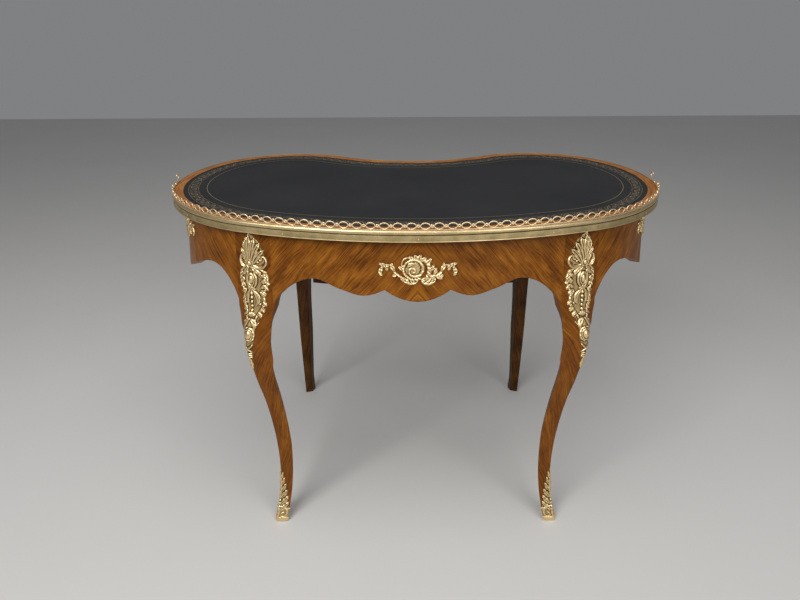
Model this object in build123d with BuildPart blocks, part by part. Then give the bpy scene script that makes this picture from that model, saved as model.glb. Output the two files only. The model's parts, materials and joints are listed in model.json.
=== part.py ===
from build123d import *
from math import atan2, cos, degrees, hypot, radians, sin, sqrt
import os

os.makedirs("parts", exist_ok=True)

# Driving dimensions of the writing table, in millimetres
top_width = 1095
top_depth = 655
top_height = 760

# Radii of the kidney's arcs as shares of the depth
front_radius_share = 1.42
end_radius_share = 0.516
lobe_radius_share = 0.348
hollow_radius_share = 0.502

# Fits that many pieces share
seat_gap = 0.1
pin_clearance = 0.05
slide_gap = 0.4
cut_overrun = 5

# Top: board, crossbanded border, leather and brass edge
board_thickness = 20
border_thickness = 2
leather_thickness = 1.2
border_width = 32
edge_thickness = 5
edge_lip = 0.8
edge_bead = 1.6
edge_fascia_inset = 1
edge_groove_drop = 9
edge_groove_height = 1.6
edge_groove_depth = 1.4
edge_crown_inset = 2.6

# Brass gallery that stands on the edge, round the front and both ends
gallery_end_y = 0
gallery_rail_inset = 1.6
gallery_rail_width = 3
gallery_rail_height = 1.5
gallery_thickness = 2.2
gallery_pitch = 24.4
ring_width = 18.6
ring_height = 15
ring_wall = 2
link_radius = 3.1
link_hole_radius = 1.2
rings_per_unit = 2
finial_rise = 18
finial_reach = 22
finial_wire_radius = 1.5
finial_turn_share = 0.4
finial_tip_shares = (0.62, 0.78)

# Nails that hold the brass edge
edge_pin_radius = 0.8
edge_pin_head_radius = 1.5
edge_pin_head = 0.5
edge_pin_length = 11
edge_pin_rise = 6.5
front_pin_shares = (0, 0.748)
end_pin_shares = (0.282, 0.82)
lobe_pin_shares = (0.214, 0.755)
hollow_pin_shares = (0.522,)

# Frieze walls, measured inwards from the edge of the top
wall_thickness = 22
wall_top_inset = 28
wall_foot_inset = 13
frieze_height = 163

# Legs: where they stand on the outline and how they sweep
front_leg_lead = 1.275
rear_leg_turn = 9
front_inner_wing = 55
front_outer_wing = 33
rear_wing = 52
post_depth = 52
front_sweep_turn = 45
rear_sweep_turn = 6
leg_sweep = 18
rear_sweep_share = 0.6
knee_width = 62
back_corner_share = 0.08
back_lean_share = 0.2

# Lower edges of the frieze: places along each wall as shares of half its
# length, and heights as shares of the frieze's height above the ears
front_cusp_share = 0.245
front_cusp_height_share = 0.34
front_lobe_height_share = 0.215
front_edge_shares = [(0.356, 0.28), (0.52, 0.35), (0.71, 0.46), (0.87, 0.35), (0.965, 0.13)]
end_edge_shares = [
    (0, 0.03),
    (0.2, 0.05),
    (0.4, 0.14),
    (0.56, 0.265),
    (0.69, 0.371),
    (0.80, 0.45),
    (0.86, 0.458),
    (0.92, 0.395),
    (0.96, 0.275),
    (0.985, 0.14),
]
back_edge_shares = [(0, 0.27), (0.32, 0.31), (0.58, 0.31), (0.82, 0.42), (0.96, 0.17)]

# Gilt mounts on the legs and the frieze
mount_relief = 4.5
mount_edge_relief = 1.6
mount_bite = 9
knee_mount_drop = 11
knee_mount_share = 0.515
knee_mount_outer_share = 0.72
sabot_wall = 2.2
sabot_sole = 2
sabot_tongue_height = 160
sabot_collar_height = 38
mount_width = 166
mount_height = 61
front_mount_drop = 59
end_mount_drop = 41
end_mount_turn = -22
mount_pin_radius = 0.9
mount_pin_head_radius = 1.8
mount_pin_head = 0.6
mount_pin_length = 9
mount_pin_spread = 58
mount_pin_drops = (48, 108)

# Drawer in the hollow back, its opening and its lock
drawer_opening_share = 0.7562
drawer_length_share = 0.726
drawer_opening_height = 74
drawer_head_rail = 16
drawer_gap = 1
drawer_front_thickness = 18
drawer_side_thickness = 8
drawer_side_inset = 7
drawer_side_drop = 5
drawer_bottom_thickness = 5
drawer_tongue_thickness = 3
drawer_bottom_rise = 5
groove_depth = 4
runner_width = 30
runner_height = 16
guide_width = 11
guide_height = 30
kicker_width = 24
stop_length = 20
stop_height = 14
lock_width = 50
lock_height = 45
lock_depth = 12
lock_wall = 1.5
lock_cover = 7
bolt_width = 24
bolt_height = 12
bolt_thickness = 6
bolt_throw = 6
key_drop = 23
key_radius = 2.5
key_bit_reach = 9
key_bit_width = 2
key_bit_length = 4.5
key_stand_off = 12
key_bow_width = 22
key_bow_height = 17
key_bow_thickness = 3
key_bow_bar = 4
keyhole_slack = 0.6
escutcheon_width = 34
escutcheon_height = 46
escutcheon_relief = 2

# Blocks and screws that hold the top to the frieze
block_length = 60
block_depth = 24
block_height = 24
screw_radius = 2
screw_head_radius = 4
screw_head_height = 2.5
screw_bite = 12
front_block_share = 0.2
end_block_share = 0.66
lobe_block_share = 0.027

# Heights that the other pieces follow
board_foot = top_height - border_thickness - board_thickness
ear_height = board_foot - frieze_height
knee_mount_top = board_foot - knee_mount_drop
knee_mount_height = ear_height * knee_mount_share
front_mount_z = board_foot - front_mount_drop
end_mount_z = board_foot - end_mount_drop
drawer_opening_foot = board_foot - drawer_head_rail - drawer_opening_height
reach = top_width + top_depth

# Radii of the outline
front_radius = top_depth * front_radius_share
end_radius = top_depth * end_radius_share
lobe_radius = top_depth * lobe_radius_share
hollow_radius = top_depth * hollow_radius_share


# Centres of the six arcs that make the kidney outline
front_y = -top_depth / 2
front_centre = (0, front_y + front_radius)
end_x = top_width / 2 - end_radius
end_centre = (end_x, front_centre[1] - sqrt((front_radius - end_radius) ** 2 - end_x**2))
lobe_y = top_depth / 2 - lobe_radius
lobe_x = end_x + sqrt((end_radius - lobe_radius) ** 2 - (lobe_y - end_centre[1]) ** 2)
lobe_centre = (lobe_x, lobe_y)
hollow_centre = (0, lobe_y + sqrt((hollow_radius + lobe_radius) ** 2 - lobe_x**2))

# Directions in which neighbouring arcs meet
front_to_end = atan2(end_centre[1] - front_centre[1], end_x)
end_to_lobe = atan2(lobe_y - end_centre[1], lobe_x - end_x)
lobe_to_hollow = atan2(hollow_centre[1] - lobe_y, -lobe_x)
hollow_to_lobe = atan2(lobe_y - hollow_centre[1], lobe_x)
straight_down = radians(-90)
front_span = (straight_down, front_to_end)
end_span = (front_to_end, end_to_lobe)
lobe_span = (end_to_lobe, lobe_to_hollow)
hollow_span = (hollow_to_lobe, straight_down)


def part_way(span, share):
    """The angle part of the way along an arc."""
    return span[0] + (span[1] - span[0]) * share


def spot(centre, radius, angle):
    """A point on a circle, by the angle from the X axis in radians."""
    return (centre[0] + radius * cos(angle), centre[1] + radius * sin(angle))


def arc_between(centre, radius, start, finish):
    """An arc round a centre from one angle to another, drawn in the active BuildLine."""
    middle = (start + finish) / 2
    return ThreePointArc(
        spot(centre, radius, start), spot(centre, radius, middle), spot(centre, radius, finish)
    )


def kidney_lines(inset):
    """The kidney outline, inset from the edge of the top, drawn in the active BuildLine."""
    arc_between(front_centre, front_radius - inset, *front_span)
    arc_between(end_centre, end_radius - inset, *end_span)
    arc_between(lobe_centre, lobe_radius - inset, *lobe_span)
    arc_between(hollow_centre, hollow_radius + inset, *hollow_span)
    mirror(about=Plane.YZ)


def kidney_sketch(inset, height):
    """The kidney outline as a filled face at a height."""
    with BuildSketch(Plane.XY.offset(height)) as outline:
        with BuildLine():
            kidney_lines(inset)
        make_face()
    return outline.sketch


def kidney_slab(inset, foot, thickness):
    """A slab with the kidney outline."""
    with BuildPart() as slab:
        extrude(kidney_sketch(inset, foot), amount=thickness)
    return slab.part


def wall_inset(height):
    """How far the outside of the frieze lies in from the edge of the top at a height."""
    drop = (board_foot - height) / frieze_height
    return wall_top_inset + (wall_foot_inset - wall_top_inset) * drop


def wall_core(depth, foot=ear_height, head=board_foot):
    """Everything inside the flared frieze wall, drawn in by a depth."""
    upper = kidney_sketch(wall_inset(head) + depth, head)
    lower = kidney_sketch(wall_inset(foot) + depth, foot)
    with BuildPart() as core:
        loft(sections=[lower, upper], ruled=True)
    return core.part


def save(part, name):
    """Labels a finished piece and writes its file."""
    part.label = name
    export_step(part, f"parts/{name}.step")


def save_pair(part, name, word="right", other="left"):
    """Writes a piece of the right-hand side and its mirror image on the left."""
    save(part, f"{name}_{word}")
    with BuildPart() as twin:
        mirror(part, about=Plane.YZ)
    save(twin.part, f"{name}_{other}")


# Places on the outline where each leg stands, seen on the right-hand side
front_post_angle = front_to_end + radians(front_leg_lead)
rear_post_angle = radians(90 - rear_leg_turn)
front_wall_radius = end_radius - wall_foot_inset
rear_post_step = rear_wing / (lobe_radius - wall_foot_inset)


class LegPlace:
    """One leg's post: the arc it stands on, its angles there and the way it sweeps."""

    def __init__(self, centre, radius, angle, inner_step, outer_step, sweep, sweep_size, faces):
        self.centre = centre
        self.radius = radius
        self.angle = angle
        self.inner = angle + inner_step
        self.outer = angle + outer_step
        self.sweep = (cos(sweep), sin(sweep))
        self.sweep_size = sweep_size
        self.faces = faces

    def on_wall(self, angle, height, depth=0):
        """A point on the frieze wall, drawn in by a depth."""
        return spot(self.centre, self.radius - wall_inset(height) - depth, angle)


front_place = LegPlace(
    end_centre,
    end_radius,
    front_post_angle,
    -front_inner_wing / front_wall_radius,
    front_outer_wing / front_wall_radius,
    radians(front_sweep_turn - 90),
    leg_sweep,
    1,
)
rear_place = LegPlace(
    lobe_centre,
    lobe_radius,
    rear_post_angle,
    rear_post_step,
    -rear_post_step,
    radians(90 - rear_sweep_turn),
    leg_sweep * rear_sweep_share,
    -1,
)
places = {"front": front_place, "rear": rear_place}

# The drawer is as wide as the space between the front posts allows
front_post_x = front_place.on_wall(front_place.inner, board_foot, post_depth)[0]
drawer_opening_width = (front_post_x + front_post_x) * drawer_opening_share

# Each row: height as a share of the ear height, sweep as a share of its size, the
# inner and outer widths as shares of the knee's, and how far the section has
# turned from the wall's line to a square
leg_shares = [
    (1.000, 0.00, 0.920, 0.530, 0.00),
    (0.962, 0.45, 0.420, 0.610, 0.22),
    (0.925, 0.95, 0.500, 0.650, 0.42),
    (0.880, 1.25, 0.690, 0.700, 0.66),
    (0.840, 1.25, 0.780, 0.620, 0.84),
    (0.800, 1.12, 0.770, 0.630, 0.95),
    (0.765, 0.98, 0.700, 0.690, 1.00),
    (0.695, 0.57, 0.646, 0.646, 1.00),
    (0.610, -0.10, 0.592, 0.592, 1.00),
    (0.505, -0.68, 0.565, 0.565, 1.00),
    (0.400, -1.05, 0.546, 0.546, 1.00),
    (0.295, -1.17, 0.496, 0.496, 1.00),
    (0.200, -1.03, 0.456, 0.456, 1.00),
    (0.105, -0.61, 0.415, 0.415, 1.00),
    (0.000, 0.46, 0.423, 0.423, 1.00),
]


def blend(first, second, share):
    """A point part of the way from one point to another."""
    return tuple(a + (b - a) * share for a, b in zip(first, second))


def unit(vector):
    """A direction of length one."""
    length = hypot(*vector)
    return (vector[0] / length, vector[1] / length)


def along(point, direction, distance):
    """A point moved along a direction."""
    return (point[0] + direction[0] * distance, point[1] + direction[1] * distance)


def post_section(place, height, swell=0):
    """The corners of a leg's post at a height within the frieze."""
    return [
        place.on_wall(place.inner, height, post_depth),
        place.on_wall(place.inner, height, -swell),
        place.on_wall(place.angle, height, -swell),
        place.on_wall(place.outer, height, -swell),
        place.on_wall(place.outer, height, post_depth),
    ]


def leg_section(place, row, swell=0):
    """Height and corners of a leg: inner back, inner, arris, outer, outer back."""
    height_share, sweep_share, inner_share, outer_share, square_share = row
    shift = place.sweep_size * sweep_share
    corner = along(place.on_wall(place.angle, ear_height), place.sweep, shift)
    corner_x = corner[0] + swell
    corner_y = corner[1] - swell * place.faces
    inner_side = knee_width * inner_share + swell + swell
    outer_side = knee_width * outer_share + swell + swell
    back = 1 - back_lean_share
    cut = back - back_corner_share
    square = [
        (corner_x - inner_side * back, corner_y + outer_side * cut * place.faces),
        (corner_x - inner_side, corner_y),
        (corner_x, corner_y),
        (corner_x, corner_y + outer_side * place.faces),
        (corner_x - inner_side * cut, corner_y + outer_side * back * place.faces),
    ]
    wall = [along(point, place.sweep, shift) for point in post_section(place, ear_height, swell)]
    return ear_height * height_share, [blend(a, b, square_share) for a, b in zip(wall, square)]


def section_at(place, height):
    """The corners of a leg at any height, found between two rows of the table."""
    if height >= ear_height:
        return post_section(place, height)
    share = height / ear_height
    upper, lower = next(
        (a, b) for a, b in zip(leg_shares, leg_shares[1:]) if a[0] >= share >= b[0]
    )
    between = (upper[0] - share) / (upper[0] - lower[0])
    first = leg_section(place, upper)[1]
    second = leg_section(place, lower)[1]
    return [blend(a, b, between) for a, b in zip(first, second)]


def section_sketch(points, height):
    """A face through a section's corners at a height."""
    with BuildSketch(Plane.XY.offset(height)) as section:
        Polygon(*points, align=None)
    return section.sketch


def leg_solid(place, foot, swell=0):
    """A whole leg: its post in the frieze and the swept, tapering leg below it."""
    post = [
        section_sketch(post_section(place, height, swell), height)
        for height in (ear_height, board_foot - seat_gap)
    ]
    swept = []
    for row in leg_shares:
        height, points = leg_section(place, row, swell)
        swept.append(section_sketch(points, max(height, foot)))
    with BuildPart() as leg:
        loft(sections=post, ruled=True)
        loft(sections=swept)
    return leg.part


def wedge(points, foot=ear_height - cut_overrun, height=frieze_height + cut_overrun + cut_overrun):
    """An upright prism through a ring of points on the floor plan."""
    with BuildPart() as prism:
        extrude(section_sketch(points, foot), amount=height)
    return prism.part


def mirrored(point):
    """The same place on the left-hand side."""
    return (-point[0], point[1])


def edge_points(shares, half_length):
    """Points of a wall's lower edge, on one side of its middle."""
    return [(half_length * a, ear_height + frieze_height * b) for a, b in shares]


def radial_plane(centre, radius, angle, height):
    """A plane on a round wall at a height, facing straight out from it."""
    x, y = spot(centre, radius - wall_inset(height), angle)
    return Plane(
        origin=(x, y, height), x_dir=(-sin(angle), cos(angle), 0), z_dir=(cos(angle), sin(angle), 0)
    )


front_mount_plane = radial_plane(front_centre, front_radius, straight_down, front_mount_z)
end_mount_plane = radial_plane(end_centre, end_radius, radians(end_mount_turn), end_mount_z)


def mount_pin_places():
    """A plane for each pin of the gilt mounts and how far its head stands off the wood."""
    proud = mount_relief + seat_gap + slide_gap
    right = []
    for centre, radius, turn, height in (
        (front_centre, front_radius, straight_down, front_mount_z),
        (end_centre, end_radius, radians(end_mount_turn), end_mount_z),
    ):
        step = mount_pin_spread / radius
        right.append(radial_plane(centre, radius, turn + step, height))
        if turn > straight_down:
            right.append(radial_plane(centre, radius, turn - step, height))
    for place in places.values():
        for drop in mount_pin_drops:
            right.append(radial_plane(place.centre, place.radius, place.angle, board_foot - drop))
    left = [
        Plane(
            origin=(-plane.origin.X, plane.origin.Y, plane.origin.Z),
            z_dir=(-plane.z_dir.X, plane.z_dir.Y, 0),
        )
        for plane in right
    ]
    return [(plane, proud) for plane in right + left]


def mount_pin_holes():
    """Holes for the pins of the gilt mounts, to be taken from mounts, legs and walls."""
    with BuildPart() as holes:
        for plane, proud in mount_pin_places():
            with BuildSketch(plane) as hole:
                Circle(mount_pin_radius + pin_clearance)
            extrude(hole.sketch, amount=-mount_pin_length - seat_gap)
            extrude(hole.sketch, amount=proud)
    return holes.part


# Board, border and leather
edge_top = top_height + edge_lip
edge_foot = board_foot
pin_height = edge_foot + edge_pin_rise


def pin_planes():
    """One plane for every nail of the brass edge, on its outside and facing outwards."""
    planes = []
    for centre, radius, span, shares, facing in (
        (front_centre, front_radius - edge_fascia_inset, front_span, front_pin_shares, 1),
        (end_centre, end_radius - edge_fascia_inset, end_span, end_pin_shares, 1),
        (lobe_centre, lobe_radius - edge_fascia_inset, lobe_span, lobe_pin_shares, 1),
        (hollow_centre, hollow_radius + edge_fascia_inset, hollow_span, hollow_pin_shares, -1),
    ):
        for share in shares:
            angle = part_way(span, share)
            x, y = spot(centre, radius, angle)
            across, out = facing * cos(angle), facing * sin(angle)
            planes.append(Plane(origin=(x, y, pin_height), z_dir=(across, out, 0)))
            if share:
                planes.append(Plane(origin=(-x, y, pin_height), z_dir=(-across, out, 0)))
    return planes


def pin_holes(depth):
    """Drill holes for the nails, to be taken from the edge and the board."""
    with BuildPart() as holes:
        for plane in pin_planes():
            with BuildSketch(plane) as hole:
                Circle(edge_pin_radius + pin_clearance)
            extrude(hole.sketch, amount=-depth)
            extrude(hole.sketch, amount=edge_fascia_inset)
    return holes.part


def block_places():
    """Name, arc and direction of each glue block under the top."""
    front_turn = drawer_opening_width * front_block_share / front_radius
    return [
        ("front", front_centre, front_radius, straight_down + front_turn),
        ("end", end_centre, end_radius, part_way(end_span, end_block_share)),
        ("rear", lobe_centre, lobe_radius, part_way(lobe_span, lobe_block_share)),
    ]


def block_spot(centre, radius, turn, depth):
    """A place on the floor plan behind the frieze wall."""
    return spot(centre, radius - wall_inset(board_foot) - wall_thickness - depth, turn)


screw_spots = []
for _, arc_centre, arc_radius, block_turn in block_places():
    place_right = block_spot(arc_centre, arc_radius, block_turn, block_depth / 2)
    screw_spots += [place_right, mirrored(place_right)]

with BuildPart() as top_board:
    add(kidney_slab(edge_thickness + seat_gap, board_foot, board_thickness))
    add(pin_holes(edge_pin_length + seat_gap), mode=Mode.SUBTRACT)
    with BuildSketch(Plane.XY.offset(board_foot)):
        with Locations(*screw_spots):
            Circle(screw_radius + pin_clearance)
    extrude(amount=screw_bite + seat_gap, mode=Mode.SUBTRACT)
save(top_board.part, "top_board")

with BuildPart() as border:
    add(kidney_slab(edge_thickness + seat_gap, top_height - border_thickness, border_thickness))
    add(
        kidney_slab(edge_thickness + border_width, top_height - border_thickness, border_thickness),
        mode=Mode.SUBTRACT,
    )
save(border.part, "border_crossbanding")

with BuildPart() as leather:
    add(
        kidney_slab(
            edge_thickness + border_width + seat_gap,
            top_height - border_thickness,
            leather_thickness,
        )
    )
save(leather.part, "leather_panel")


# Brass edge: one moulding run round the whole outline
fascia_top = edge_top - edge_groove_drop - edge_groove_height
crown_foot = edge_top - edge_groove_drop
groove_inset = edge_fascia_inset + edge_groove_depth
with BuildPart() as brass_edge:
    with BuildSketch(Plane(origin=(0, front_y, 0), x_dir=(0, 1, 0), z_dir=(1, 0, 0))) as moulding:
        with BuildLine():
            Line((edge_thickness, edge_foot), (edge_bead, edge_foot))
            ThreePointArc(
                (edge_bead, edge_foot),
                (0, edge_foot + edge_bead),
                (edge_fascia_inset, edge_foot + edge_bead + edge_bead),
            )
            Polyline(
                (edge_fascia_inset, edge_foot + edge_bead + edge_bead),
                (edge_fascia_inset, fascia_top),
                (groove_inset, fascia_top),
                (groove_inset, crown_foot),
                (edge_fascia_inset, crown_foot),
            )
            ThreePointArc(
                (edge_fascia_inset, crown_foot),
                (edge_fascia_inset / 2, (crown_foot + edge_top) / 2),
                (edge_crown_inset, edge_top),
            )
            Polyline(
                (edge_crown_inset, edge_top), (edge_thickness, edge_top), (edge_thickness, edge_foot)
            )
        make_face()
    with BuildLine() as outline:
        kidney_lines(0)
    sweep(moulding.sketch, path=outline.wire())
    add(pin_holes(edge_pin_length), mode=Mode.SUBTRACT)
save(brass_edge.part, "brass_edge")

with BuildPart() as edge_pins:
    for plane in pin_planes():
        with BuildSketch(plane) as shank:
            Circle(edge_pin_radius)
        extrude(shank.sketch, amount=-edge_pin_length)
        with BuildSketch(plane.offset(seat_gap)) as nail_head:
            Circle(edge_pin_head_radius)
        extrude(nail_head.sketch, amount=edge_pin_head)
        extrude(shank.sketch, amount=seat_gap)
save(edge_pins.part, "edge_pins")


# Gallery: a rail, pressed ring units and a scroll at each end
gallery_foot = edge_top
gallery_line = gallery_rail_inset + gallery_rail_width / 2
with BuildPart() as gallery_rail:
    add(kidney_slab(gallery_rail_inset, gallery_foot, gallery_rail_height))
    add(
        kidney_slab(gallery_rail_inset + gallery_rail_width, gallery_foot, gallery_rail_height),
        mode=Mode.SUBTRACT,
    )
    split(bisect_by=Plane(origin=(0, gallery_end_y, 0), z_dir=(0, 1, 0)), keep=Keep.BOTTOM)
save(gallery_rail.part, "gallery_rail")

gallery_end_angle = atan2(gallery_end_y - end_centre[1], end_radius)
with BuildLine() as gallery_path:
    arc_between(front_centre, front_radius - gallery_line, straight_down, front_to_end)
    arc_between(end_centre, end_radius - gallery_line, front_to_end, gallery_end_angle)
path = gallery_path.wire()
unit_length = gallery_pitch * rings_per_unit
unit_count = int((path.length - unit_length / 2) / unit_length)
ring_axis = gallery_foot + gallery_rail_height + ring_height / 2 + pin_clearance


def gallery_unit():
    """Pressed rings and the small links beside them, one flat piece, in its own XY plane."""
    first = -(rings_per_unit - 1) / 2
    with BuildPart() as pressed:
        with BuildSketch() as rings:
            for number in range(rings_per_unit):
                ring_x = (first + number) * gallery_pitch
                with Locations((ring_x, 0)):
                    Ellipse(ring_width / 2, ring_height / 2)
                with Locations((ring_x + gallery_pitch / 2, 0)):
                    Circle(link_radius - pin_clearance)
            for number in range(rings_per_unit):
                ring_x = (first + number) * gallery_pitch
                with Locations((ring_x, 0)):
                    Ellipse(ring_width / 2 - ring_wall, ring_height / 2 - ring_wall, mode=Mode.SUBTRACT)
                with Locations((ring_x + gallery_pitch / 2, 0)):
                    Circle(link_hole_radius, mode=Mode.SUBTRACT)
        extrude(amount=gallery_thickness / 2, both=True)
    return pressed.part


ring_unit = gallery_unit()
unit_places = []
for number in range(-unit_count, unit_count + 1):
    middle = abs(number) * unit_length
    point = path.position_at(middle, position_mode=PositionMode.LENGTH)
    tangent = path.tangent_at(middle, position_mode=PositionMode.LENGTH)
    sense = 1 if number >= 0 else -1
    unit_places.append(
        Plane(
            origin=(point.X * sense, point.Y, ring_axis),
            x_dir=(tangent.X, tangent.Y * sense, 0),
            z_dir=(tangent.Y * sense, -tangent.X, 0),
        ).location
    )
with BuildPart() as gallery_rings:
    with Locations(*unit_places):
        add(ring_unit)
save(gallery_rings.part, "gallery_rings")

# The scroll rises from the rail's end, curls over and comes back on itself
end_x_at_gallery = path.position_at(1).X
scroll_y = gallery_end_y + slide_gap
scroll_z = gallery_foot + finial_wire_radius + seat_gap
with BuildPart() as finial:
    with BuildLine() as scroll:
        rising = TangentArc(
            (end_x_at_gallery, scroll_y, scroll_z),
            (end_x_at_gallery, scroll_y + finial_reach, scroll_z + finial_rise * finial_turn_share),
            tangent=(0, 1, 0),
        )
        TangentArc(
            rising @ 1,
            (
                end_x_at_gallery,
                scroll_y + finial_reach * finial_tip_shares[0],
                scroll_z + finial_rise * finial_tip_shares[1],
            ),
            tangent=rising % 1,
        )
    with BuildSketch(Plane(origin=rising @ 0, z_dir=(0, 1, 0))) as wire:
        Circle(finial_wire_radius)
    sweep(wire.sketch, path=scroll.wire())
save_pair(finial.part, "gallery_scroll")


# Frieze walls between the legs
pin_drillings = mount_pin_holes()
with BuildPart() as frieze_ring:
    add(wall_core(0))
    add(pin_drillings, mode=Mode.SUBTRACT)
    add(
        wall_core(wall_thickness, ear_height - cut_overrun, board_foot + cut_overrun),
        mode=Mode.SUBTRACT,
    )

joint_turn = seat_gap / end_radius


def ray_point(place, angle, overshoot=reach):
    """A point on the radial line that parts a wall from a leg, far out if not told."""
    return spot(place.centre, overshoot, angle)


front_ray = ray_point(front_place, front_place.inner - joint_turn)
front_near = ray_point(front_place, front_place.inner - joint_turn, end_radius / 2)
with BuildPart() as apron_front:
    add(frieze_ring.part)
    add(
        wedge([front_near, front_ray, mirrored(front_ray), mirrored(front_near)]),
        mode=Mode.INTERSECT,
    )
    half_front = front_place.on_wall(front_place.inner, ear_height)[0] + seat_gap
    front_points = edge_points(
        [(front_cusp_share, front_cusp_height_share)] + front_edge_shares + [(1, 0)], half_front
    )
    lobe_foot = ear_height + frieze_height * front_lobe_height_share
    below = ear_height - cut_overrun
    with BuildSketch(Plane.XZ):
        with BuildLine():
            ThreePointArc(mirrored(front_points[0]), (0, lobe_foot), front_points[0])
            Spline(*front_points)
            Spline(*[mirrored(point) for point in front_points])
            Polyline(
                front_points[-1], (half_front, below), (-half_front, below), mirrored(front_points[-1])
            )
        make_face()
    extrude(amount=reach, both=True, mode=Mode.SUBTRACT)
save(apron_front.part, "apron_front")

end_ray = ray_point(front_place, front_place.outer + joint_turn)
rear_ray = ray_point(rear_place, rear_place.outer - joint_turn)
with BuildPart() as apron_end:
    add(frieze_ring.part)
    add(wedge([end_centre, end_ray, (reach, 0), rear_ray, lobe_centre]), mode=Mode.INTERSECT)
    end_low = front_place.on_wall(front_place.outer, ear_height)[1] - seat_gap
    end_high = rear_place.on_wall(rear_place.outer, ear_height)[1] + seat_gap
    end_middle = (end_low + end_high) / 2
    end_points = edge_points(end_edge_shares + [(1, 0)], (end_high - end_low) / 2)
    far_side = [(end_middle + a, b) for a, b in end_points]
    near_side = [(end_middle - a, b) for a, b in reversed(end_points)]
    with BuildSketch(Plane.YZ):
        with BuildLine():
            Spline(*(near_side[:-1] + far_side))
            Polyline(far_side[-1], (end_high, below), (end_low, below), near_side[0])
        make_face()
    extrude(amount=reach, both=True, mode=Mode.SUBTRACT)
save_pair(apron_end.part, "apron_end")

back_ray = ray_point(rear_place, rear_place.inner + joint_turn)
back_near = (lobe_x, 0)
opening_middle_z = drawer_opening_foot + drawer_opening_height / 2
hollow_face_y = hollow_centre[1] - hollow_radius - wall_top_inset
lock_pocket_y = hollow_face_y - lock_cover
bolt_y = lock_pocket_y - seat_gap - bolt_thickness
with BuildPart() as apron_back:
    add(frieze_ring.part)
    add(
        wedge(
            [
                back_near,
                lobe_centre,
                back_ray,
                mirrored(back_ray),
                mirrored(lobe_centre),
                mirrored(back_near),
            ]
        ),
        mode=Mode.INTERSECT,
    )
    half_back = rear_place.on_wall(rear_place.inner, ear_height)[0] + seat_gap
    back_points = edge_points(back_edge_shares + [(1, 0)], half_back)
    back_left = [mirrored(point) for point in reversed(back_points)]
    with BuildSketch(Plane.XZ):
        with BuildLine():
            Spline(*(back_left[:-1] + back_points))
            Polyline(back_points[-1], (half_back, below), (-half_back, below), back_left[0])
        make_face()
    extrude(amount=reach, both=True, mode=Mode.SUBTRACT)
    with BuildSketch(Plane.XZ):
        with Locations((0, opening_middle_z)):
            Rectangle(drawer_opening_width, drawer_opening_height)
    extrude(amount=reach, both=True, mode=Mode.SUBTRACT)
    # Notch that the lock's bolt rises into
    with BuildSketch(Plane.XY.offset(drawer_opening_foot + drawer_opening_height)):
        with Locations((0, bolt_y - cut_overrun)):
            Rectangle(
                bolt_width + drawer_gap,
                bolt_thickness + cut_overrun + slide_gap,
                align=(Align.CENTER, Align.MIN),
            )
    extrude(amount=bolt_throw + drawer_gap, mode=Mode.SUBTRACT)
save(apron_back.part, "apron_back")


# Legs, each with a gilt mount on its knee; the front ones stand in gilt shoes
# Rows of the knee mount: drop from its top and width of each wing, as shares
knee_mount_shares = [
    (0.0, 0.03),
    (0.09, 0.105),
    (0.18, 0.125),
    (0.23, 0.084),
    (0.295, 0.139),
    (0.36, 0.13),
    (0.42, 0.098),
    (0.50, 0.083),
    (0.56, 0.08),
    (0.62, 0.054),
    (0.72, 0.05),
    (0.81, 0.034),
    (0.87, 0.026),
    (1.0, 0.012),
]


def knee_mount_section(place, row):
    """An angle of metal over the arris of a leg: its corners at one height."""
    drop_share, wing_share = row
    height = knee_mount_top - knee_mount_height * drop_share
    corners = section_at(place, height)
    arris = corners[2]
    to_inner = unit((corners[1][0] - arris[0], corners[1][1] - arris[1]))
    to_outer = unit((corners[3][0] - arris[0], corners[3][1] - arris[1]))
    inner_face = (-to_inner[1] * place.faces, to_inner[0] * place.faces)
    outer_face = (to_outer[1] * place.faces, -to_outer[0] * place.faces)
    ridge = unit((inner_face[0] + outer_face[0], inner_face[1] + outer_face[1]))
    wing = knee_mount_height * wing_share
    bite = min(mount_bite, wing * knee_mount_outer_share)
    inner_tip = along(arris, to_inner, wing)
    outer_tip = along(arris, to_outer, wing * knee_mount_outer_share)
    points = [
        along(arris, ridge, mount_relief),
        along(inner_tip, inner_face, mount_edge_relief),
        along(inner_tip, inner_face, -bite / 3),
        along(arris, ridge, -bite),
        along(outer_tip, outer_face, -bite / 3),
        along(outer_tip, outer_face, mount_edge_relief),
    ]
    return section_sketch(points, height)


leg_feet = {"front": sabot_sole, "rear": 0}
for word, place in places.items():
    with BuildPart() as leg:
        add(leg_solid(place, leg_feet[word]))
        add(pin_drillings, mode=Mode.SUBTRACT)
    save_pair(leg.part, f"leg_{word}")

    with BuildPart() as knee_mount:
        loft(sections=[knee_mount_section(place, row) for row in knee_mount_shares], ruled=True)
        add(leg_solid(place, sabot_sole, seat_gap), mode=Mode.SUBTRACT)
        add(pin_drillings, mode=Mode.SUBTRACT)
    save_pair(knee_mount.part, f"knee_mount_{word}")

ridge_foot = section_at(front_place, sabot_tongue_height)[2]
outward = unit((1, -1))
side_reach = knee_width * leg_shares[-1][2] / sqrt(2)
with BuildPart() as sabot:
    add(leg_solid(front_place, 0, sabot_wall))
    add(leg_solid(front_place, sabot_sole - seat_gap, seat_gap), mode=Mode.SUBTRACT)
    diagonal = Plane(
        origin=(ridge_foot[0], ridge_foot[1], 0),
        x_dir=(outward[0], outward[1], 0),
        z_dir=(outward[1], -outward[0], 0),
    )
    with BuildSketch(diagonal) as above_tongue:
        Polygon(
            (knee_width, sabot_tongue_height),
            (0, sabot_tongue_height),
            (-side_reach, sabot_collar_height),
            (-reach, sabot_collar_height),
            (-reach, top_height),
            (knee_width, top_height),
            align=None,
        )
    extrude(above_tongue.sketch, amount=reach, both=True, mode=Mode.SUBTRACT)
save_pair(sabot.part, "sabot_front")


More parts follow.
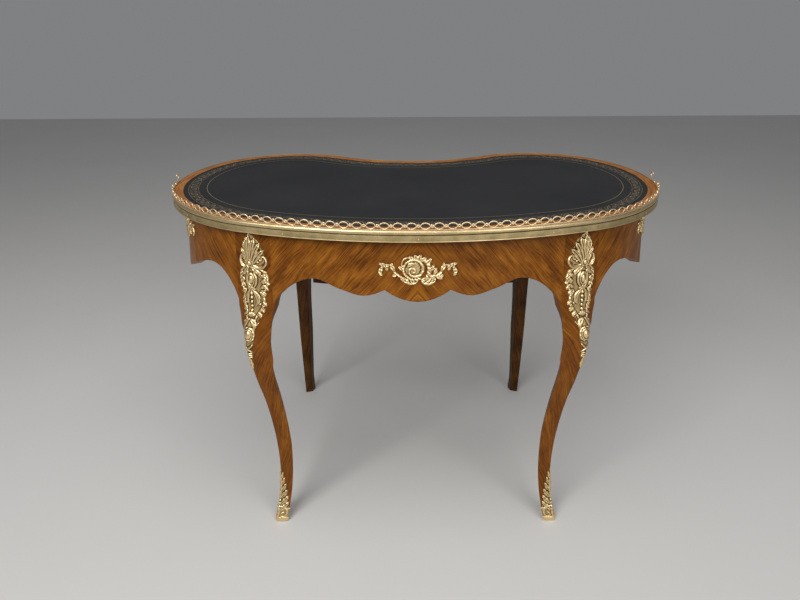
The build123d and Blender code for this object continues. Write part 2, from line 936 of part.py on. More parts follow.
# Gilt mounts on the frieze: a roundel with leafy arms, laid on the flared wall
mount_outline_shares = [
    (0.10, 0.40),
    (0.19, 0.12),
    (0.33, 0.25),
    (0.47, 0.16),
    (0.48, -0.10),
    (0.33, -0.17),
    (0.20, -0.14),
    (0.11, -0.40),
]


def frieze_skin(relief):
    """A thin shell just outside the frieze wall."""
    with BuildPart() as skin:
        add(wall_core(-relief))
        add(
            wall_core(-seat_gap, ear_height - cut_overrun, board_foot + cut_overrun),
            mode=Mode.SUBTRACT,
        )
    return skin.part


def mount_points():
    """Outline of a frieze mount about its own middle, its two arms alike."""
    right = [(mount_width * a, mount_height * b) for a, b in mount_outline_shares]
    left = [mirrored(point) for point in reversed(right)]
    return [(0, mount_height / 2)] + right + [(0, -mount_height / 2)] + left


def frieze_mount(facing):
    """A mount laid on the flared wall, seen along a level plane's normal."""
    with BuildPart() as mount:
        add(frieze_skin(mount_relief))
        with BuildSketch(facing.offset(-mount_width / 2)) as roundel:
            with BuildLine():
                Spline(*mount_points(), periodic=True)
            make_face()
        extrude(roundel.sketch, amount=reach, mode=Mode.INTERSECT)
        add(pin_drillings, mode=Mode.SUBTRACT)
    return mount.part


save(frieze_mount(front_mount_plane), "mount_front")
save_pair(frieze_mount(end_mount_plane), "mount_end")

with BuildPart() as mount_pins:
    for plane, proud in mount_pin_places():
        with BuildSketch(plane) as shank:
            Circle(mount_pin_radius)
        extrude(shank.sketch, amount=-mount_pin_length)
        extrude(shank.sketch, amount=proud)
        with BuildSketch(plane.offset(proud)) as pin_head:
            Circle(mount_pin_head_radius)
        extrude(pin_head.sketch, amount=mount_pin_head)
save(mount_pins.part, "mount_pins")


# Drawer: a hollowed front and a dovetailed box behind it
drawer_half = drawer_opening_width / 2 - drawer_gap
drawer_foot = drawer_opening_foot + drawer_gap
drawer_head = drawer_opening_foot + drawer_opening_height - drawer_gap
side_outer = drawer_half - drawer_side_inset
side_inner = side_outer - drawer_side_thickness
side_foot = drawer_foot + drawer_gap
side_head = drawer_head - drawer_side_drop
bottom_foot = side_foot + drawer_bottom_rise
key_z = drawer_head - key_drop
front_wall_y = front_y + wall_top_inset + wall_thickness
back_y = hollow_face_y - (hollow_face_y - front_wall_y) * drawer_length_share


def brick(low, high):
    """A block between two corners."""
    with BuildPart() as block:
        with BuildSketch(Plane.XY.offset(low[2])):
            Polygon(
                (low[0], low[1]), (high[0], low[1]), (high[0], high[1]), (low[0], high[1]), align=None
            )
        extrude(amount=high[2] - low[2])
    return block.part


lock_z = drawer_head - lock_height
lock_y = lock_pocket_y - seat_gap - lock_depth
tongue_top = bottom_foot + drawer_tongue_thickness
with BuildPart() as bottom_field:
    add(
        brick(
            (-side_inner + seat_gap, back_y + drawer_side_thickness + seat_gap, bottom_foot),
            (side_inner - seat_gap, reach, bottom_foot + drawer_bottom_thickness),
        )
    )
    add(wall_core(drawer_front_thickness + slide_gap), mode=Mode.INTERSECT)

with BuildPart() as drawer_bottom:
    add(
        brick(
            (-side_inner - groove_depth, back_y, bottom_foot),
            (side_inner + groove_depth, reach, tongue_top),
        )
    )
    add(
        wall_core(drawer_front_thickness - groove_depth),
        mode=Mode.INTERSECT,
    )
    add(bottom_field.part)
save(drawer_bottom.part, "drawer_bottom")

with BuildPart() as bottom_groove:
    add(
        brick(
            (
                -side_inner - groove_depth - seat_gap,
                back_y - cut_overrun,
                bottom_foot - seat_gap,
            ),
            (
                side_inner + groove_depth + seat_gap,
                reach,
                tongue_top + seat_gap,
            ),
        )
    )
    add(
        wall_core(drawer_front_thickness - groove_depth - seat_gap),
        mode=Mode.INTERSECT,
    )

with BuildPart() as drawer_front:
    add(wall_core(0))
    add(
        wall_core(drawer_front_thickness, ear_height - cut_overrun, board_foot + cut_overrun),
        mode=Mode.SUBTRACT,
    )
    add(brick((-drawer_half, 0, drawer_foot), (drawer_half, reach, drawer_head)), mode=Mode.INTERSECT)
    add(bottom_groove.part, mode=Mode.SUBTRACT)
    # Pocket for the lock
    add(
        brick(
            (-lock_width / 2 - seat_gap, 0, lock_z - seat_gap),
            (lock_width / 2 + seat_gap, lock_pocket_y, drawer_head),
        ),
        mode=Mode.SUBTRACT,
    )
    # Keyhole
    with BuildSketch(Plane.XZ):
        with Locations((0, key_z)):
            Circle(key_radius + keyhole_slack)
            Rectangle(
                key_bit_width + keyhole_slack + keyhole_slack,
                key_bit_reach + keyhole_slack,
                align=(Align.CENTER, Align.MAX),
            )
    extrude(amount=-reach, mode=Mode.SUBTRACT)
save(drawer_front.part, "drawer_front")

with BuildPart() as drawer_side:
    add(brick((side_inner, back_y, side_foot), (side_outer, reach, side_head)))
    add(wall_core(drawer_front_thickness + seat_gap), mode=Mode.INTERSECT)
    add(bottom_groove.part, mode=Mode.SUBTRACT)
save_pair(drawer_side.part, "drawer_side")

with BuildPart() as drawer_back:
    add(
        brick(
            (-side_inner + seat_gap, back_y, tongue_top + seat_gap),
            (side_inner - seat_gap, back_y + drawer_side_thickness, side_head),
        )
    )
save(drawer_back.part, "drawer_back")


# Runners, kickers and stops that guide the drawer
guide_inner = side_outer + slide_gap
runner_top = side_foot - slide_gap
with BuildPart() as runner:
    add(
        brick(
            (guide_inner + guide_width - runner_width, -reach, runner_top - runner_height),
            (guide_inner + guide_width, reach, runner_top),
        )
    )
    add(
        brick(
            (guide_inner, -reach, runner_top - runner_height),
            (guide_inner + guide_width, reach, runner_top + guide_height),
        )
    )
    add(wall_core(wall_thickness + seat_gap), mode=Mode.INTERSECT)
save_pair(runner.part, "drawer_runner")

with BuildPart() as kicker:
    add(
        brick(
            (guide_inner + guide_width - kicker_width, -reach, side_head + slide_gap),
            (guide_inner + guide_width, reach, board_foot - seat_gap),
        )
    )
    add(wall_core(wall_thickness + seat_gap), mode=Mode.INTERSECT)
save_pair(kicker.part, "drawer_kicker")

with BuildPart() as stop:
    add(
        brick(
            (side_inner, back_y - slide_gap - stop_length, runner_top + seat_gap),
            (side_outer, back_y - slide_gap, runner_top + seat_gap + stop_height),
        )
    )
save_pair(stop.part, "drawer_stop")


# Lock: a shallow brass tray let into the drawer front, with its bolt and key
with BuildPart() as lock_case:
    add(
        brick(
            (-lock_width / 2, lock_y, lock_z),
            (lock_width / 2, lock_y + lock_depth, drawer_head - seat_gap),
        )
    )
    add(
        brick(
            (-lock_width / 2 + lock_wall, lock_y + lock_wall, lock_z + lock_wall),
            (lock_width / 2 - lock_wall, reach, drawer_head - seat_gap - lock_wall),
        ),
        mode=Mode.SUBTRACT,
    )
    with BuildSketch(Plane.XZ):
        with Locations((0, key_z)):
            Circle(key_radius + pin_clearance)
    extrude(amount=-reach, mode=Mode.SUBTRACT)
    # Slot for the bolt
    add(
        brick(
            (-bolt_width / 2 - slide_gap, bolt_y - slide_gap, drawer_head - bolt_height),
            (bolt_width / 2 + slide_gap, reach, drawer_head),
        ),
        mode=Mode.SUBTRACT,
    )
save(lock_case.part, "lock_case")

with BuildPart() as lock_bolt:
    add(
        brick(
            (-bolt_width / 2, bolt_y, drawer_head - bolt_height),
            (bolt_width / 2, bolt_y + bolt_thickness - slide_gap, drawer_head - seat_gap),
        )
    )
save(lock_bolt.part, "lock_bolt")

escutcheon_face_y = hollow_centre[1] - hollow_radius - wall_inset(key_z)
bit_y = lock_y + lock_wall + slide_gap
with BuildPart() as key:
    with BuildSketch(Plane(origin=(0, lock_y, key_z), x_dir=(1, 0, 0), z_dir=(0, 1, 0))) as stem:
        Circle(key_radius)
    extrude(stem.sketch, amount=escutcheon_face_y + key_stand_off - lock_y)
    add(
        brick(
            (-key_bit_width / 2, bit_y, key_z - key_bit_reach),
            (key_bit_width / 2, bit_y + key_bit_length, key_z),
        )
    )
    bow_y = escutcheon_face_y + key_stand_off + key_bow_width / 2 - key_bow_bar / 2
    with BuildSketch(Plane.YZ) as bow:
        with Locations((bow_y, key_z)):
            Ellipse(key_bow_width / 2, key_bow_height / 2)
            Ellipse(key_bow_width / 2 - key_bow_bar, key_bow_height / 2 - key_bow_bar, mode=Mode.SUBTRACT)
    extrude(bow.sketch, amount=key_bow_thickness / 2, both=True)
save(key.part, "key")

with BuildPart() as escutcheon:
    add(frieze_skin(escutcheon_relief))
    with BuildSketch(Plane.XZ) as plate:
        with Locations((0, key_z)):
            Ellipse(escutcheon_width / 2, escutcheon_height / 2)
            Circle(key_radius + keyhole_slack, mode=Mode.SUBTRACT)
            Rectangle(
                key_bit_width + keyhole_slack + keyhole_slack,
                key_bit_reach + keyhole_slack,
                align=(Align.CENTER, Align.MAX),
                mode=Mode.SUBTRACT,
            )
    extrude(plate.sketch, amount=-reach, mode=Mode.INTERSECT)
save(escutcheon.part, "escutcheon")


# Glue blocks in the angle of frieze and top, and the screws through them
for name, arc_centre, arc_radius, block_turn in block_places():
    x, y = block_spot(arc_centre, arc_radius, block_turn, block_depth / 2)
    with BuildPart() as block:
        with BuildSketch(Plane.XY.offset(board_foot - seat_gap - block_height)):
            with Locations(Location((x, y, 0), (0, 0, degrees(block_turn)))):
                Rectangle(block_depth + block_depth / 2, block_length)
        extrude(amount=block_height)
        add(wall_core(wall_thickness + seat_gap), mode=Mode.INTERSECT)
        with BuildSketch(Plane.XY.offset(board_foot - block_height - block_height)):
            with Locations((x, y)):
                Circle(screw_radius + pin_clearance)
        extrude(amount=block_height + block_height, mode=Mode.SUBTRACT)
    save_pair(block.part, f"glue_block_{name}")

block_foot = board_foot - seat_gap - block_height
with BuildPart() as top_screws:
    with BuildSketch(Plane.XY.offset(block_foot - seat_gap)):
        with Locations(*screw_spots):
            Circle(screw_radius)
    extrude(amount=block_height + seat_gap + seat_gap + screw_bite)
    with BuildSketch(Plane.XY.offset(block_foot - seat_gap - screw_head_height)):
        with Locations(*screw_spots):
            Circle(screw_head_radius)
    extrude(amount=screw_head_height)
save(top_screws.part, "top_screws")
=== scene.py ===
# %% [markdown]
# # Kidney shaped writing table
# A small writing table: black tooled leather inside a border of crossbanded veneer, a
# moulded brass edge with a pierced gallery, figured veneer on the frieze and on four
# cabriole legs, and gilt mounts on knees, frieze and feet. The construction model
# gives the solids, this script gives them the look of the real table.
#
# All is in metres, +Z up, the rounded front towards -Y. A piece that needs a finer
# shape than its solid takes that solid's place. The others only get a finish.
# %% Load the frame
import json
from math import atan2, cos, pi, radians, sin, sqrt

import bpy
import numpy as np
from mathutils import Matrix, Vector


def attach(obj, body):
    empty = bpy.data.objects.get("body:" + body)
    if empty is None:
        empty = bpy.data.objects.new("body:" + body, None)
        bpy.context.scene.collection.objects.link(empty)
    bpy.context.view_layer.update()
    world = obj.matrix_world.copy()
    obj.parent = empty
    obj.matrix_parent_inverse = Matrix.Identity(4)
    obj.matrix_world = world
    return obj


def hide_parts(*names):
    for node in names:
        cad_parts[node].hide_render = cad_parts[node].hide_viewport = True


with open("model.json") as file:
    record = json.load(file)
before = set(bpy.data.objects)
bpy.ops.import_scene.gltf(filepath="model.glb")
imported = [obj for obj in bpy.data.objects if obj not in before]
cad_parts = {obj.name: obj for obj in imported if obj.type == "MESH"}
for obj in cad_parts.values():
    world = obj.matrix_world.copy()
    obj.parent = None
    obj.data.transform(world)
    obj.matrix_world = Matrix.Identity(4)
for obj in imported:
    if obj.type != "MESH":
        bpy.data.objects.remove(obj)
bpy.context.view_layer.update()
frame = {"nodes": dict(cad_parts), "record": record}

# %% [markdown]
# ## Sizes
# The driving sizes are those of the construction model. Two were read again in the
# photo and are smaller here: the width of the border, and the wings, which are how
# far the wood of a leg runs into the wall on both sides.
# %% Sizes
MM = 0.001
top_width, top_depth, top_height = 1.095, 0.655, 0.760
board_foot, ear = 0.738, 0.575  # underside of the top, lower corners of the walls
frieze = board_foot - ear
wall_top_inset, wall_foot_inset, wall_thickness = 0.028, 0.013, 0.022
edge_thickness, border_width, seam = 0.005, 0.019, 0.0001
knee_width, post_depth, leg_sweep, rear_share = 0.062, 0.052, 0.018, 0.6
front_wings, rear_wings = (0.048, 0.033), (0.052, 0.052)

# %% [markdown]
# ## Outline of the top
# The kidney was drawn with compasses: on each side four arcs, for front, end, rear
# lobe and the hollow in the back, each one running smoothly into the next. A free
# curve could follow the photo too, but arcs give exact insets, and border, edge,
# gallery and walls are all insets of this one line.
# %% Arcs
front_radius, end_radius, lobe_radius, hollow_radius = (
    top_depth * share for share in (1.42, 0.516, 0.348, 0.502))
front_centre = (0.0, -top_depth / 2 + front_radius)
end_x = top_width / 2 - end_radius
end_centre = (end_x, front_centre[1] - sqrt((front_radius - end_radius) ** 2 - end_x**2))
lobe_y = top_depth / 2 - lobe_radius
lobe_x = end_x + sqrt((end_radius - lobe_radius) ** 2 - (lobe_y - end_centre[1]) ** 2)
lobe_centre = (lobe_x, lobe_y)
hollow_centre = (0.0, lobe_y + sqrt((hollow_radius + lobe_radius) ** 2 - lobe_x**2))

turn_1 = atan2(end_centre[1] - front_centre[1], end_x)
turn_2 = atan2(lobe_y - end_centre[1], lobe_x - end_x)
turn_3 = atan2(hollow_centre[1] - lobe_y, -lobe_x)
turn_4 = atan2(lobe_y - hollow_centre[1], lobe_x)
ARCS = [  # centre, radius, first and last direction, 1 where the arc bulges outwards
    (front_centre, front_radius, -pi / 2, turn_1, 1),
    (end_centre, end_radius, turn_1, turn_2, 1),
    (lobe_centre, lobe_radius, turn_2, turn_3, 1),
    (hollow_centre, hollow_radius, turn_4, -pi / 2, -1),
]
LENGTHS = np.array([r * abs(b - a) for _, r, a, b, _ in ARCS])
STARTS = np.concatenate([[0], np.cumsum(LENGTHS)])
half_outline = STARTS[-1]
print("outline", round(2 * half_outline, 3), "m round")

# %% Points of the outline


def outline(s, inset=0.0):
    """A point of the kidney: s runs along the edge from the middle of the front, right
    if positive. On its arc the point lies at centre + (radius - inset) times the
    direction, and the direction turns evenly with s. Gives x, y and the normal."""
    s, inset = np.asarray(s, float), np.asarray(inset, float)
    t = np.abs(s)
    which = np.clip(np.searchsorted(STARTS, t, side="right") - 1, 0, len(ARCS) - 1)
    cx, cy, radius, first, last, bulge = (
        np.array(v)[which] for v in zip(*[(*centre, *rest) for centre, *rest in ARCS]))
    angle = first + (last - first) * (t - STARTS[which]) / LENGTHS[which]
    reach = radius - bulge * inset
    side = np.where(s < 0, -1.0, 1.0)
    x = (cx + reach * np.cos(angle)) * side
    y = cy + reach * np.sin(angle)
    normal = np.stack([np.cos(angle) * bulge * side, np.sin(angle) * bulge], -1)
    return x, y, normal


def wall_inset(z):
    """How far in the flared frieze wall lies at a height: a straight line from its
    inset at the ears to its inset under the top."""
    return wall_top_inset + (wall_foot_inset - wall_top_inset) * (board_foot - z) / frieze


def smooth_curve(x, xs, ys, ends=None):
    """A smooth curve through (xs, ys), read at x: between two points a cubic whose
    slope at each is read from that point's neighbours. ys may have more columns."""
    xs, ys = np.asarray(xs, float), np.asarray(ys, float)
    slopes = np.gradient(ys, xs, axis=0)
    if ends is not None:
        slopes[0], slopes[-1] = ends
    i = np.clip(np.searchsorted(xs, x, side="right") - 1, 0, len(xs) - 2)
    h = xs[i + 1] - xs[i]
    t = np.clip((x - xs[i]) / h, 0, 1)
    if ys.ndim > 1:
        h, t = h[:, None], t[:, None]
    a, c = 2 * t**3 - 3 * t**2 + 1, 3 * t**2 - 2 * t**3
    b, d = t**3 - 2 * t**2 + t, t**3 - t**2
    return a * ys[i] + b * h * slopes[i] + c * ys[i + 1] + d * h * slopes[i + 1]


print("front wall under the top at y", round(float(outline(0, wall_inset(board_foot))[1]), 3))

# %% [markdown]
# ## From a grid to a mesh
# Every curved piece here is a grid of points over two parameters, which numpy works
# out as whole arrays. Blender's own primitives and modifiers would need many more
# steps for the same shape. The functions below turn a grid into one mesh object, hang
# it on the empty of the body it rides on and hide the solids it stands for.
# %% Meshes


def grid_faces(rows, columns, closed_rows=False, closed_columns=False):
    """The quads of a grid: cell (i, j) joins its point to those at i + 1 and j + 1,
    round the end again where a direction is closed."""
    i = np.arange(rows if closed_rows else rows - 1)
    j = np.arange(columns if closed_columns else columns - 1)
    i, j = np.meshgrid(i, j, indexing="ij")
    ni, nj = (i + 1) % rows, (j + 1) % columns
    quads = [i * columns + j, i * columns + nj, ni * columns + nj, ni * columns + j]
    return np.stack(quads, -1).reshape(-1, 4)


def outside_in(points, faces):
    """True where closed faces point inwards: then the volume that they enclose, the
    sum of the corners' triple products, is negative."""
    p = np.asarray(points, float).reshape(-1, 3)
    a, b, c, d = (p[faces[:, k]] for k in range(4))
    triple = np.einsum("ij,ij->i", a, np.cross(b, c)) + np.einsum("ij,ij->i", a, np.cross(c, d))
    return triple.sum() < 0


def fill_mesh(mesh, points, faces, caps):
    """Puts points, quads and many-sided caps into an empty mesh."""
    corners = np.concatenate([np.asarray(faces).ravel()] + [np.asarray(c) for c in caps])
    sizes = np.array([4] * len(faces) + [len(c) for c in caps])
    starts = np.concatenate([[0], np.cumsum(sizes)[:-1]])
    mesh.vertices.add(len(points))
    mesh.vertices.foreach_set("co", points.astype(np.float32).ravel())
    mesh.loops.add(len(corners))
    mesh.loops.foreach_set("vertex_index", corners.astype(np.int32))
    mesh.polygons.add(len(sizes))
    mesh.polygons.foreach_set("loop_start", starts.astype(np.int32))
    mesh.update(calc_edges=True)
    mesh.validate()


def build(name, points, faces, finish, body="table", slot=None, uv=None, values=None,
          replaces=(), sharp=40, caps=()):
    """One mesh object, with its finish, its UV map and its values at the points."""
    mesh = bpy.data.meshes.new(name)
    fill_mesh(mesh, np.asarray(points, float).reshape(-1, 3), faces, caps)
    if uv is not None:
        index = np.zeros(len(mesh.loops), np.int32)
        mesh.loops.foreach_get("vertex_index", index)
        flat = np.asarray(uv, np.float32).reshape(-1, 2)[index]
        mesh.uv_layers.new(name="UVMap").data.foreach_set("uv", flat.ravel())
    for key, array in (values or {}).items():
        attribute = mesh.attributes.new(key, "FLOAT", "POINT")
        attribute.data.foreach_set("value", np.asarray(array, np.float32).ravel())
    mesh.shade_smooth()
    mesh.set_sharp_from_angle(angle=radians(sharp))
    mesh.materials.append(finish)
    piece = bpy.data.objects.new(name, mesh)
    bpy.context.collection.objects.link(piece)
    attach(piece, body)
    if replaces:
        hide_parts(*replaces)
    return piece


print("a grid of 3 by 4 points has", len(grid_faces(3, 4)), "quads")

# %% [markdown]
# ## Materials
# Finishes are made of nodes only, so that they fit any piece. The helpers keep the
# trees readable: each makes one node, feeds its inputs and gives back its output.
# %% Node helpers


class Tree:
    """A node tree with one-line calls for the nodes used here."""

    def __init__(self, tree):
        self.tree = tree

    def feed(self, socket, value):
        """Links another node's output to a socket, or sets a plain value."""
        if isinstance(value, bpy.types.NodeSocket):
            self.tree.links.new(value, socket)
        else:
            socket.default_value = value

    def node(self, kind, inputs=None, out=0, **settings):
        made = self.tree.nodes.new(kind)
        for key, value in settings.items():
            setattr(made, key, value)
        for key, value in (inputs or {}).items():
            self.feed(made.inputs[key], value)
        return made.outputs[out]

    def place(self):
        """Object coordinates, in metres."""
        return self.node("ShaderNodeTexCoord", out=3)

    def math(self, operation, a, b=0.0):
        return self.node("ShaderNodeMath", {0: a, 1: b}, operation=operation)

    def vector(self, operation, a, b=(0, 0, 0)):
        return self.node("ShaderNodeVectorMath", {0: a, 1: b}, operation=operation)

    def swing(self, value, reach):
        """How far a noise lies from its middle of 0.5, times a reach."""
        return self.math("MULTIPLY", self.math("SUBTRACT", value, 0.5), reach)

    def noise(self, vector, scale=1.0, detail=3.0, rough=0.5):
        inputs = {"Vector": vector, "Scale": scale, "Detail": detail, "Roughness": rough}
        return self.node("ShaderNodeTexNoise", inputs)

    def mix(self, share, a, b):
        return self.node("ShaderNodeMix", {0: share, 6: a, 7: b}, out=2, data_type="RGBA")

    def ramp(self, share, stops):
        made = self.tree.nodes.new("ShaderNodeValToRGB")
        elements = made.color_ramp.elements
        while len(elements) < len(stops):
            elements.new(0.5)
        for element, (place, colour) in zip(elements, stops):
            element.position, element.color = place, (*colour, 1)
        self.feed(made.inputs[0], share)
        return made.outputs[0]

    def span(self, value, low, high, to_low=0.0, to_high=1.0):
        """Maps a range of values to another one, held at its ends."""
        inputs = {"Value": value, "From Min": low, "From Max": high, "To Min": to_low, "To Max": to_high}
        return self.node("ShaderNodeMapRange", inputs, clamp=True)

    def bump(self, height, strength, distance):
        return self.node("ShaderNodeBump", {"Height": height, "Strength": strength, "Distance": distance})


def material(name, **constants):
    """A new material and its shader; constant settings go straight to the shader."""
    made = bpy.data.materials.new(name)
    made.use_nodes = True
    shader = made.node_tree.nodes["Principled BSDF"]
    for key, value in constants.items():
        shader.inputs[key.replace("_", " ")].default_value = value
    return made, Tree(made.node_tree), shader.inputs


def group(name, inputs, outputs):
    """An empty node group with named inputs and outputs."""
    tree = bpy.data.node_groups.new(name, "ShaderNodeTree")
    for label, kind, value in inputs:
        socket = tree.interface.new_socket(label, in_out="INPUT", socket_type=kind)
        if value is not None:
            socket.default_value = value
    for label in outputs:
        tree.interface.new_socket(label, in_out="OUTPUT", socket_type="NodeSocketFloat")
    return Tree(tree), tree.nodes.new("NodeGroupInput").outputs, tree.nodes.new("NodeGroupOutput").inputs


def use_group(t, made, **inputs):
    """Puts a group into a material's tree and gives back its outputs."""
    node = t.tree.nodes.new("ShaderNodeGroup")
    node.node_tree = made.tree
    for key, value in inputs.items():
        t.feed(node.inputs[key], value)
    return node.outputs


def times(colour, share):
    """A darker tone of a colour, with its alpha."""
    return (*[c * share for c in colour], 1)


print("a darker grey of 0.5:", times((0.5, 0.5, 0.5), 0.5))

# %% [markdown]
# ## Figured veneer
# The show wood is a warm red brown veneer with fine streaks, broader bands and soft
# clouds, under old polish. A picture of wood would need a licence and would repeat;
# stretched noise doesn't. The figure is one group with two strengths, so that frieze,
# legs and border share it, each with its own tones. Its grain runs along the first
# coordinate, which each piece lays out in its UV map.
# %% Group of the figure
figure, made_in, made_out = group(
    "figured_veneer",
    [("Grain", "NodeSocketVector", None), ("Streak", "NodeSocketFloat", 1.0),
     ("Cloud", "NodeSocketFloat", 1.0)],
    ["Tone", "Pore"],
)
grain = made_in["Grain"]
warp = figure.noise(figure.vector("MULTIPLY", grain, (16, 30, 1)), detail=2)
sideways = figure.node("ShaderNodeCombineXYZ", {"Y": figure.swing(warp, 0.012)})
bent = figure.vector("ADD", grain, sideways)
streaks = figure.noise(figure.vector("MULTIPLY", bent, (16, 620, 1)), detail=4, rough=0.65)
bands = figure.noise(figure.vector("MULTIPLY", bent, (9, 210, 1)), detail=3, rough=0.55)
clouds = figure.noise(figure.vector("MULTIPLY", bent, (22, 38, 1)), detail=3)
pores = figure.noise(figure.vector("MULTIPLY", bent, (60, 1500, 1)), detail=2)
tone = figure.math("ADD", figure.swing(streaks, figure.math("MULTIPLY", 1.15, made_in["Streak"])), 0.5)
tone = figure.math("ADD", tone, figure.swing(bands, 0.5))
tone = figure.math("ADD", tone, figure.swing(clouds, figure.math("MULTIPLY", 0.8, made_in["Cloud"])))
figure.feed(made_out["Tone"], tone)
figure.feed(made_out["Pore"], figure.span(pores, 0.56, 0.7))
print("group", figure.tree.name)

# %% Veneers


def veneer(name, tones, on_uv=True, coat=0.06, streak=1.0, cloud=1.0, rough=0.36, shade=0.0):
    """Polished wood from dark, middle and light tone. Shade is how much painted shade
    darkens it right under the top, where the top's overhang shades the wood."""
    dark, middle, light = tones
    made, t, shader = material(name, Coat_Weight=coat, Coat_Roughness=0.16, IOR=1.45, Specular_IOR_Level=0.15)
    where = t.node("ShaderNodeUVMap") if on_uv else t.place()
    wood = use_group(t, figure, Grain=where, Streak=streak, Cloud=cloud)
    dust = t.noise(t.place(), 9)
    colour = t.ramp(wood["Tone"], [(0.26, dark), (0.5, middle), (0.76, light)])
    colour = t.mix(t.span(wood["Pore"], 0, 1, 0, 0.55), colour, times(dark, 0.45))
    colour = t.mix(t.span(dust, 0.35, 0.7, 0, 0.22), colour, times(middle, 0.62))
    if shade:
        # Painted shade: the colour darkens over the 20 mm right under the top
        height = t.node("ShaderNodeSeparateXYZ", {0: t.place()}, 2)
        painted_shade_under_top = t.span(height, board_foot - 0.020, board_foot, 0, shade)
        colour = t.mix(painted_shade_under_top, colour, times(dark, 0.5))
    t.feed(shader["Base Color"], colour)
    t.feed(shader["Roughness"], t.span(dust, 0.3, 0.7, rough - 0.05, rough + 0.12))
    t.feed(shader["Normal"], t.bump(wood["Pore"], 0.12, 0.0004))
    return made


frieze_tones = (0.060, 0.0150, 0.0006), (0.180, 0.056, 0.0030), (0.32, 0.122, 0.012)
leg_tones = (0.050, 0.0110, 0.0004), (0.150, 0.044, 0.0018), (0.27, 0.098, 0.008)
border_tones = (0.13, 0.034, 0.004), (0.33, 0.115, 0.016), (0.50, 0.21, 0.042)
# The rear legs get much darker tones than the front ones: painted shade
shaded_rear_tones = (0.018, 0.0060, 0.0006), (0.060, 0.0205, 0.0022), (0.12, 0.046, 0.008)
shadow_tones = (0.012, 0.004, 0.002), (0.032, 0.011, 0.004), (0.06, 0.024, 0.009)
oak_tones = (0.16, 0.09, 0.035), (0.30, 0.19, 0.085), (0.42, 0.29, 0.15)
# Frieze and legs get painted shade right under the top, by shade=0.6
frieze_wood = veneer("frieze_veneer", frieze_tones, streak=0.85, cloud=0.8, shade=0.6)
leg_wood = veneer("leg_veneer", leg_tones, streak=0.8, cloud=0.6, shade=0.6)
border_wood = veneer("border_veneer", border_tones, coat=0.05, cloud=0.6)
shaded_rear_wood = veneer("rear_leg_veneer_painted_shade", shaded_rear_tones, coat=0.0)
wall_wood = veneer("wall_veneer", frieze_tones, on_uv=False)
# Painted shade: a near black wood for the parts in the shade under the top
painted_shade_wood = veneer("shadow_wood", shadow_tones, on_uv=False, rough=0.4)
oak = veneer("oak", oak_tones, on_uv=False, coat=0.0, cloud=0.5, rough=0.55)
woods = (frieze_wood, leg_wood, border_wood, shaded_rear_wood, wall_wood, painted_shade_wood, oak)
print("woods", [wood.name for wood in woods])

# %% [markdown]
# ## Aged gilt and brass
# The mounts are gilt: bright where hands and dusters reach, brown in the hollows, where
# dirt and painted shade lie together. The edge and gallery are plain brass under old
# lacquer. One group gives the wear and the painted shade for all of them. A node could
# guess the hollows from the mesh, but here they are known: each piece carries a value
# named hollow at its points, worked out with its shape.
# %% Group of the wear
ageing, made_in, made_out = group(
    "aged_gilt", [("Hollow", "NodeSocketFloat", 0.0), ("Patina", "NodeSocketFloat", 0.5)], ["Wear"])
mottle = ageing.noise(ageing.place(), 38, 4, 0.55)
specks = ageing.noise(ageing.place(), 420, 2)
# The hollow value adds dirt and painted shade to the wear
wear_and_shade = ageing.math("ADD", made_in["Hollow"], ageing.swing(mottle, made_in["Patina"]))
ageing.feed(made_out["Wear"], ageing.math("ADD", wear_and_shade, ageing.swing(specks, 0.12)))
print("group", ageing.tree.name)

# %% Metals


def aged_metal(name, bright, dull, dirt_and_shade, patina, rough, bump, hollow=True):
    """Metal that goes from bright over dull to dirt and painted shade as the wear value
    rises; the hollow value in that wear is dirt and painted shade together.
    """
    made, t, shader = material(name, Metallic=1.0)
    deep = t.node("ShaderNodeAttribute", out=2, attribute_name="hollow") if hollow else 0.0
    age = use_group(t, ageing, Hollow=deep, Patina=patina)
    t.feed(shader["Base Color"], t.ramp(age["Wear"], [(0.0, bright), (0.28, dull), (0.75, dirt_and_shade)]))
    t.feed(shader["Roughness"], t.span(age["Wear"], -0.1, 0.7, rough, rough + 0.35))
    t.feed(shader["Normal"], t.bump(t.noise(t.place(), 900, 2), bump, 0.0002))
    return made


mount_metal = aged_metal("gilt_mounts", (0.86, 0.65, 0.36), (0.60, 0.43, 0.20), (0.060, 0.032, 0.010),
                         patina=0.35, rough=0.31, bump=0.1)
edge_metal = aged_metal("edge_brass", (0.64, 0.50, 0.28), (0.42, 0.33, 0.165), (0.13, 0.10, 0.04),
                        patina=0.9, rough=0.38, bump=0.04)
gallery_metal = aged_metal("gallery_brass", (0.92, 0.70, 0.42), (0.60, 0.46, 0.26), (0.20, 0.14, 0.06),
                           patina=0.6, rough=0.38, bump=0.05, hollow=False)
steel, t, shader = material("dull_steel", Metallic=1.0, Roughness=0.45)
tint = t.noise(t.place(), 200)
t.feed(shader["Base Color"], t.ramp(tint, [(0.3, (0.11, 0.10, 0.095)), (0.7, (0.27, 0.26, 0.25))]))
print("metals", [metal.name for metal in (mount_metal, edge_metal, gallery_metal, steel)])

# %% [markdown]
# ## Tooled leather
# The writing surface is black hide. Two thin gilt lines hold a band of small scrolls,
# leaves and dots, rubbed thin by use, and a third, whole line lies further in.
# Modelling the marks would cost millions of faces for a depth of a hair, so they are
# drawn by nodes over the UV map: how far along the edge, and how far in from it.
# %% Leather
leather_hide, t, shader = material("tooled_leather", IOR=1.4, Specular_IOR_Level=0.22)
band_middle, band_half, band_repeat = 0.0455, 0.0095, 0.030
band_lines, inner_line = (0.0350, 0.0560), 0.0745
along = t.node("ShaderNodeSeparateXYZ", {0: t.node("ShaderNodeUVMap")}, 0)
inset = along.node.outputs[1]
gold_tone = (0.36, 0.27, 0.15, 1)


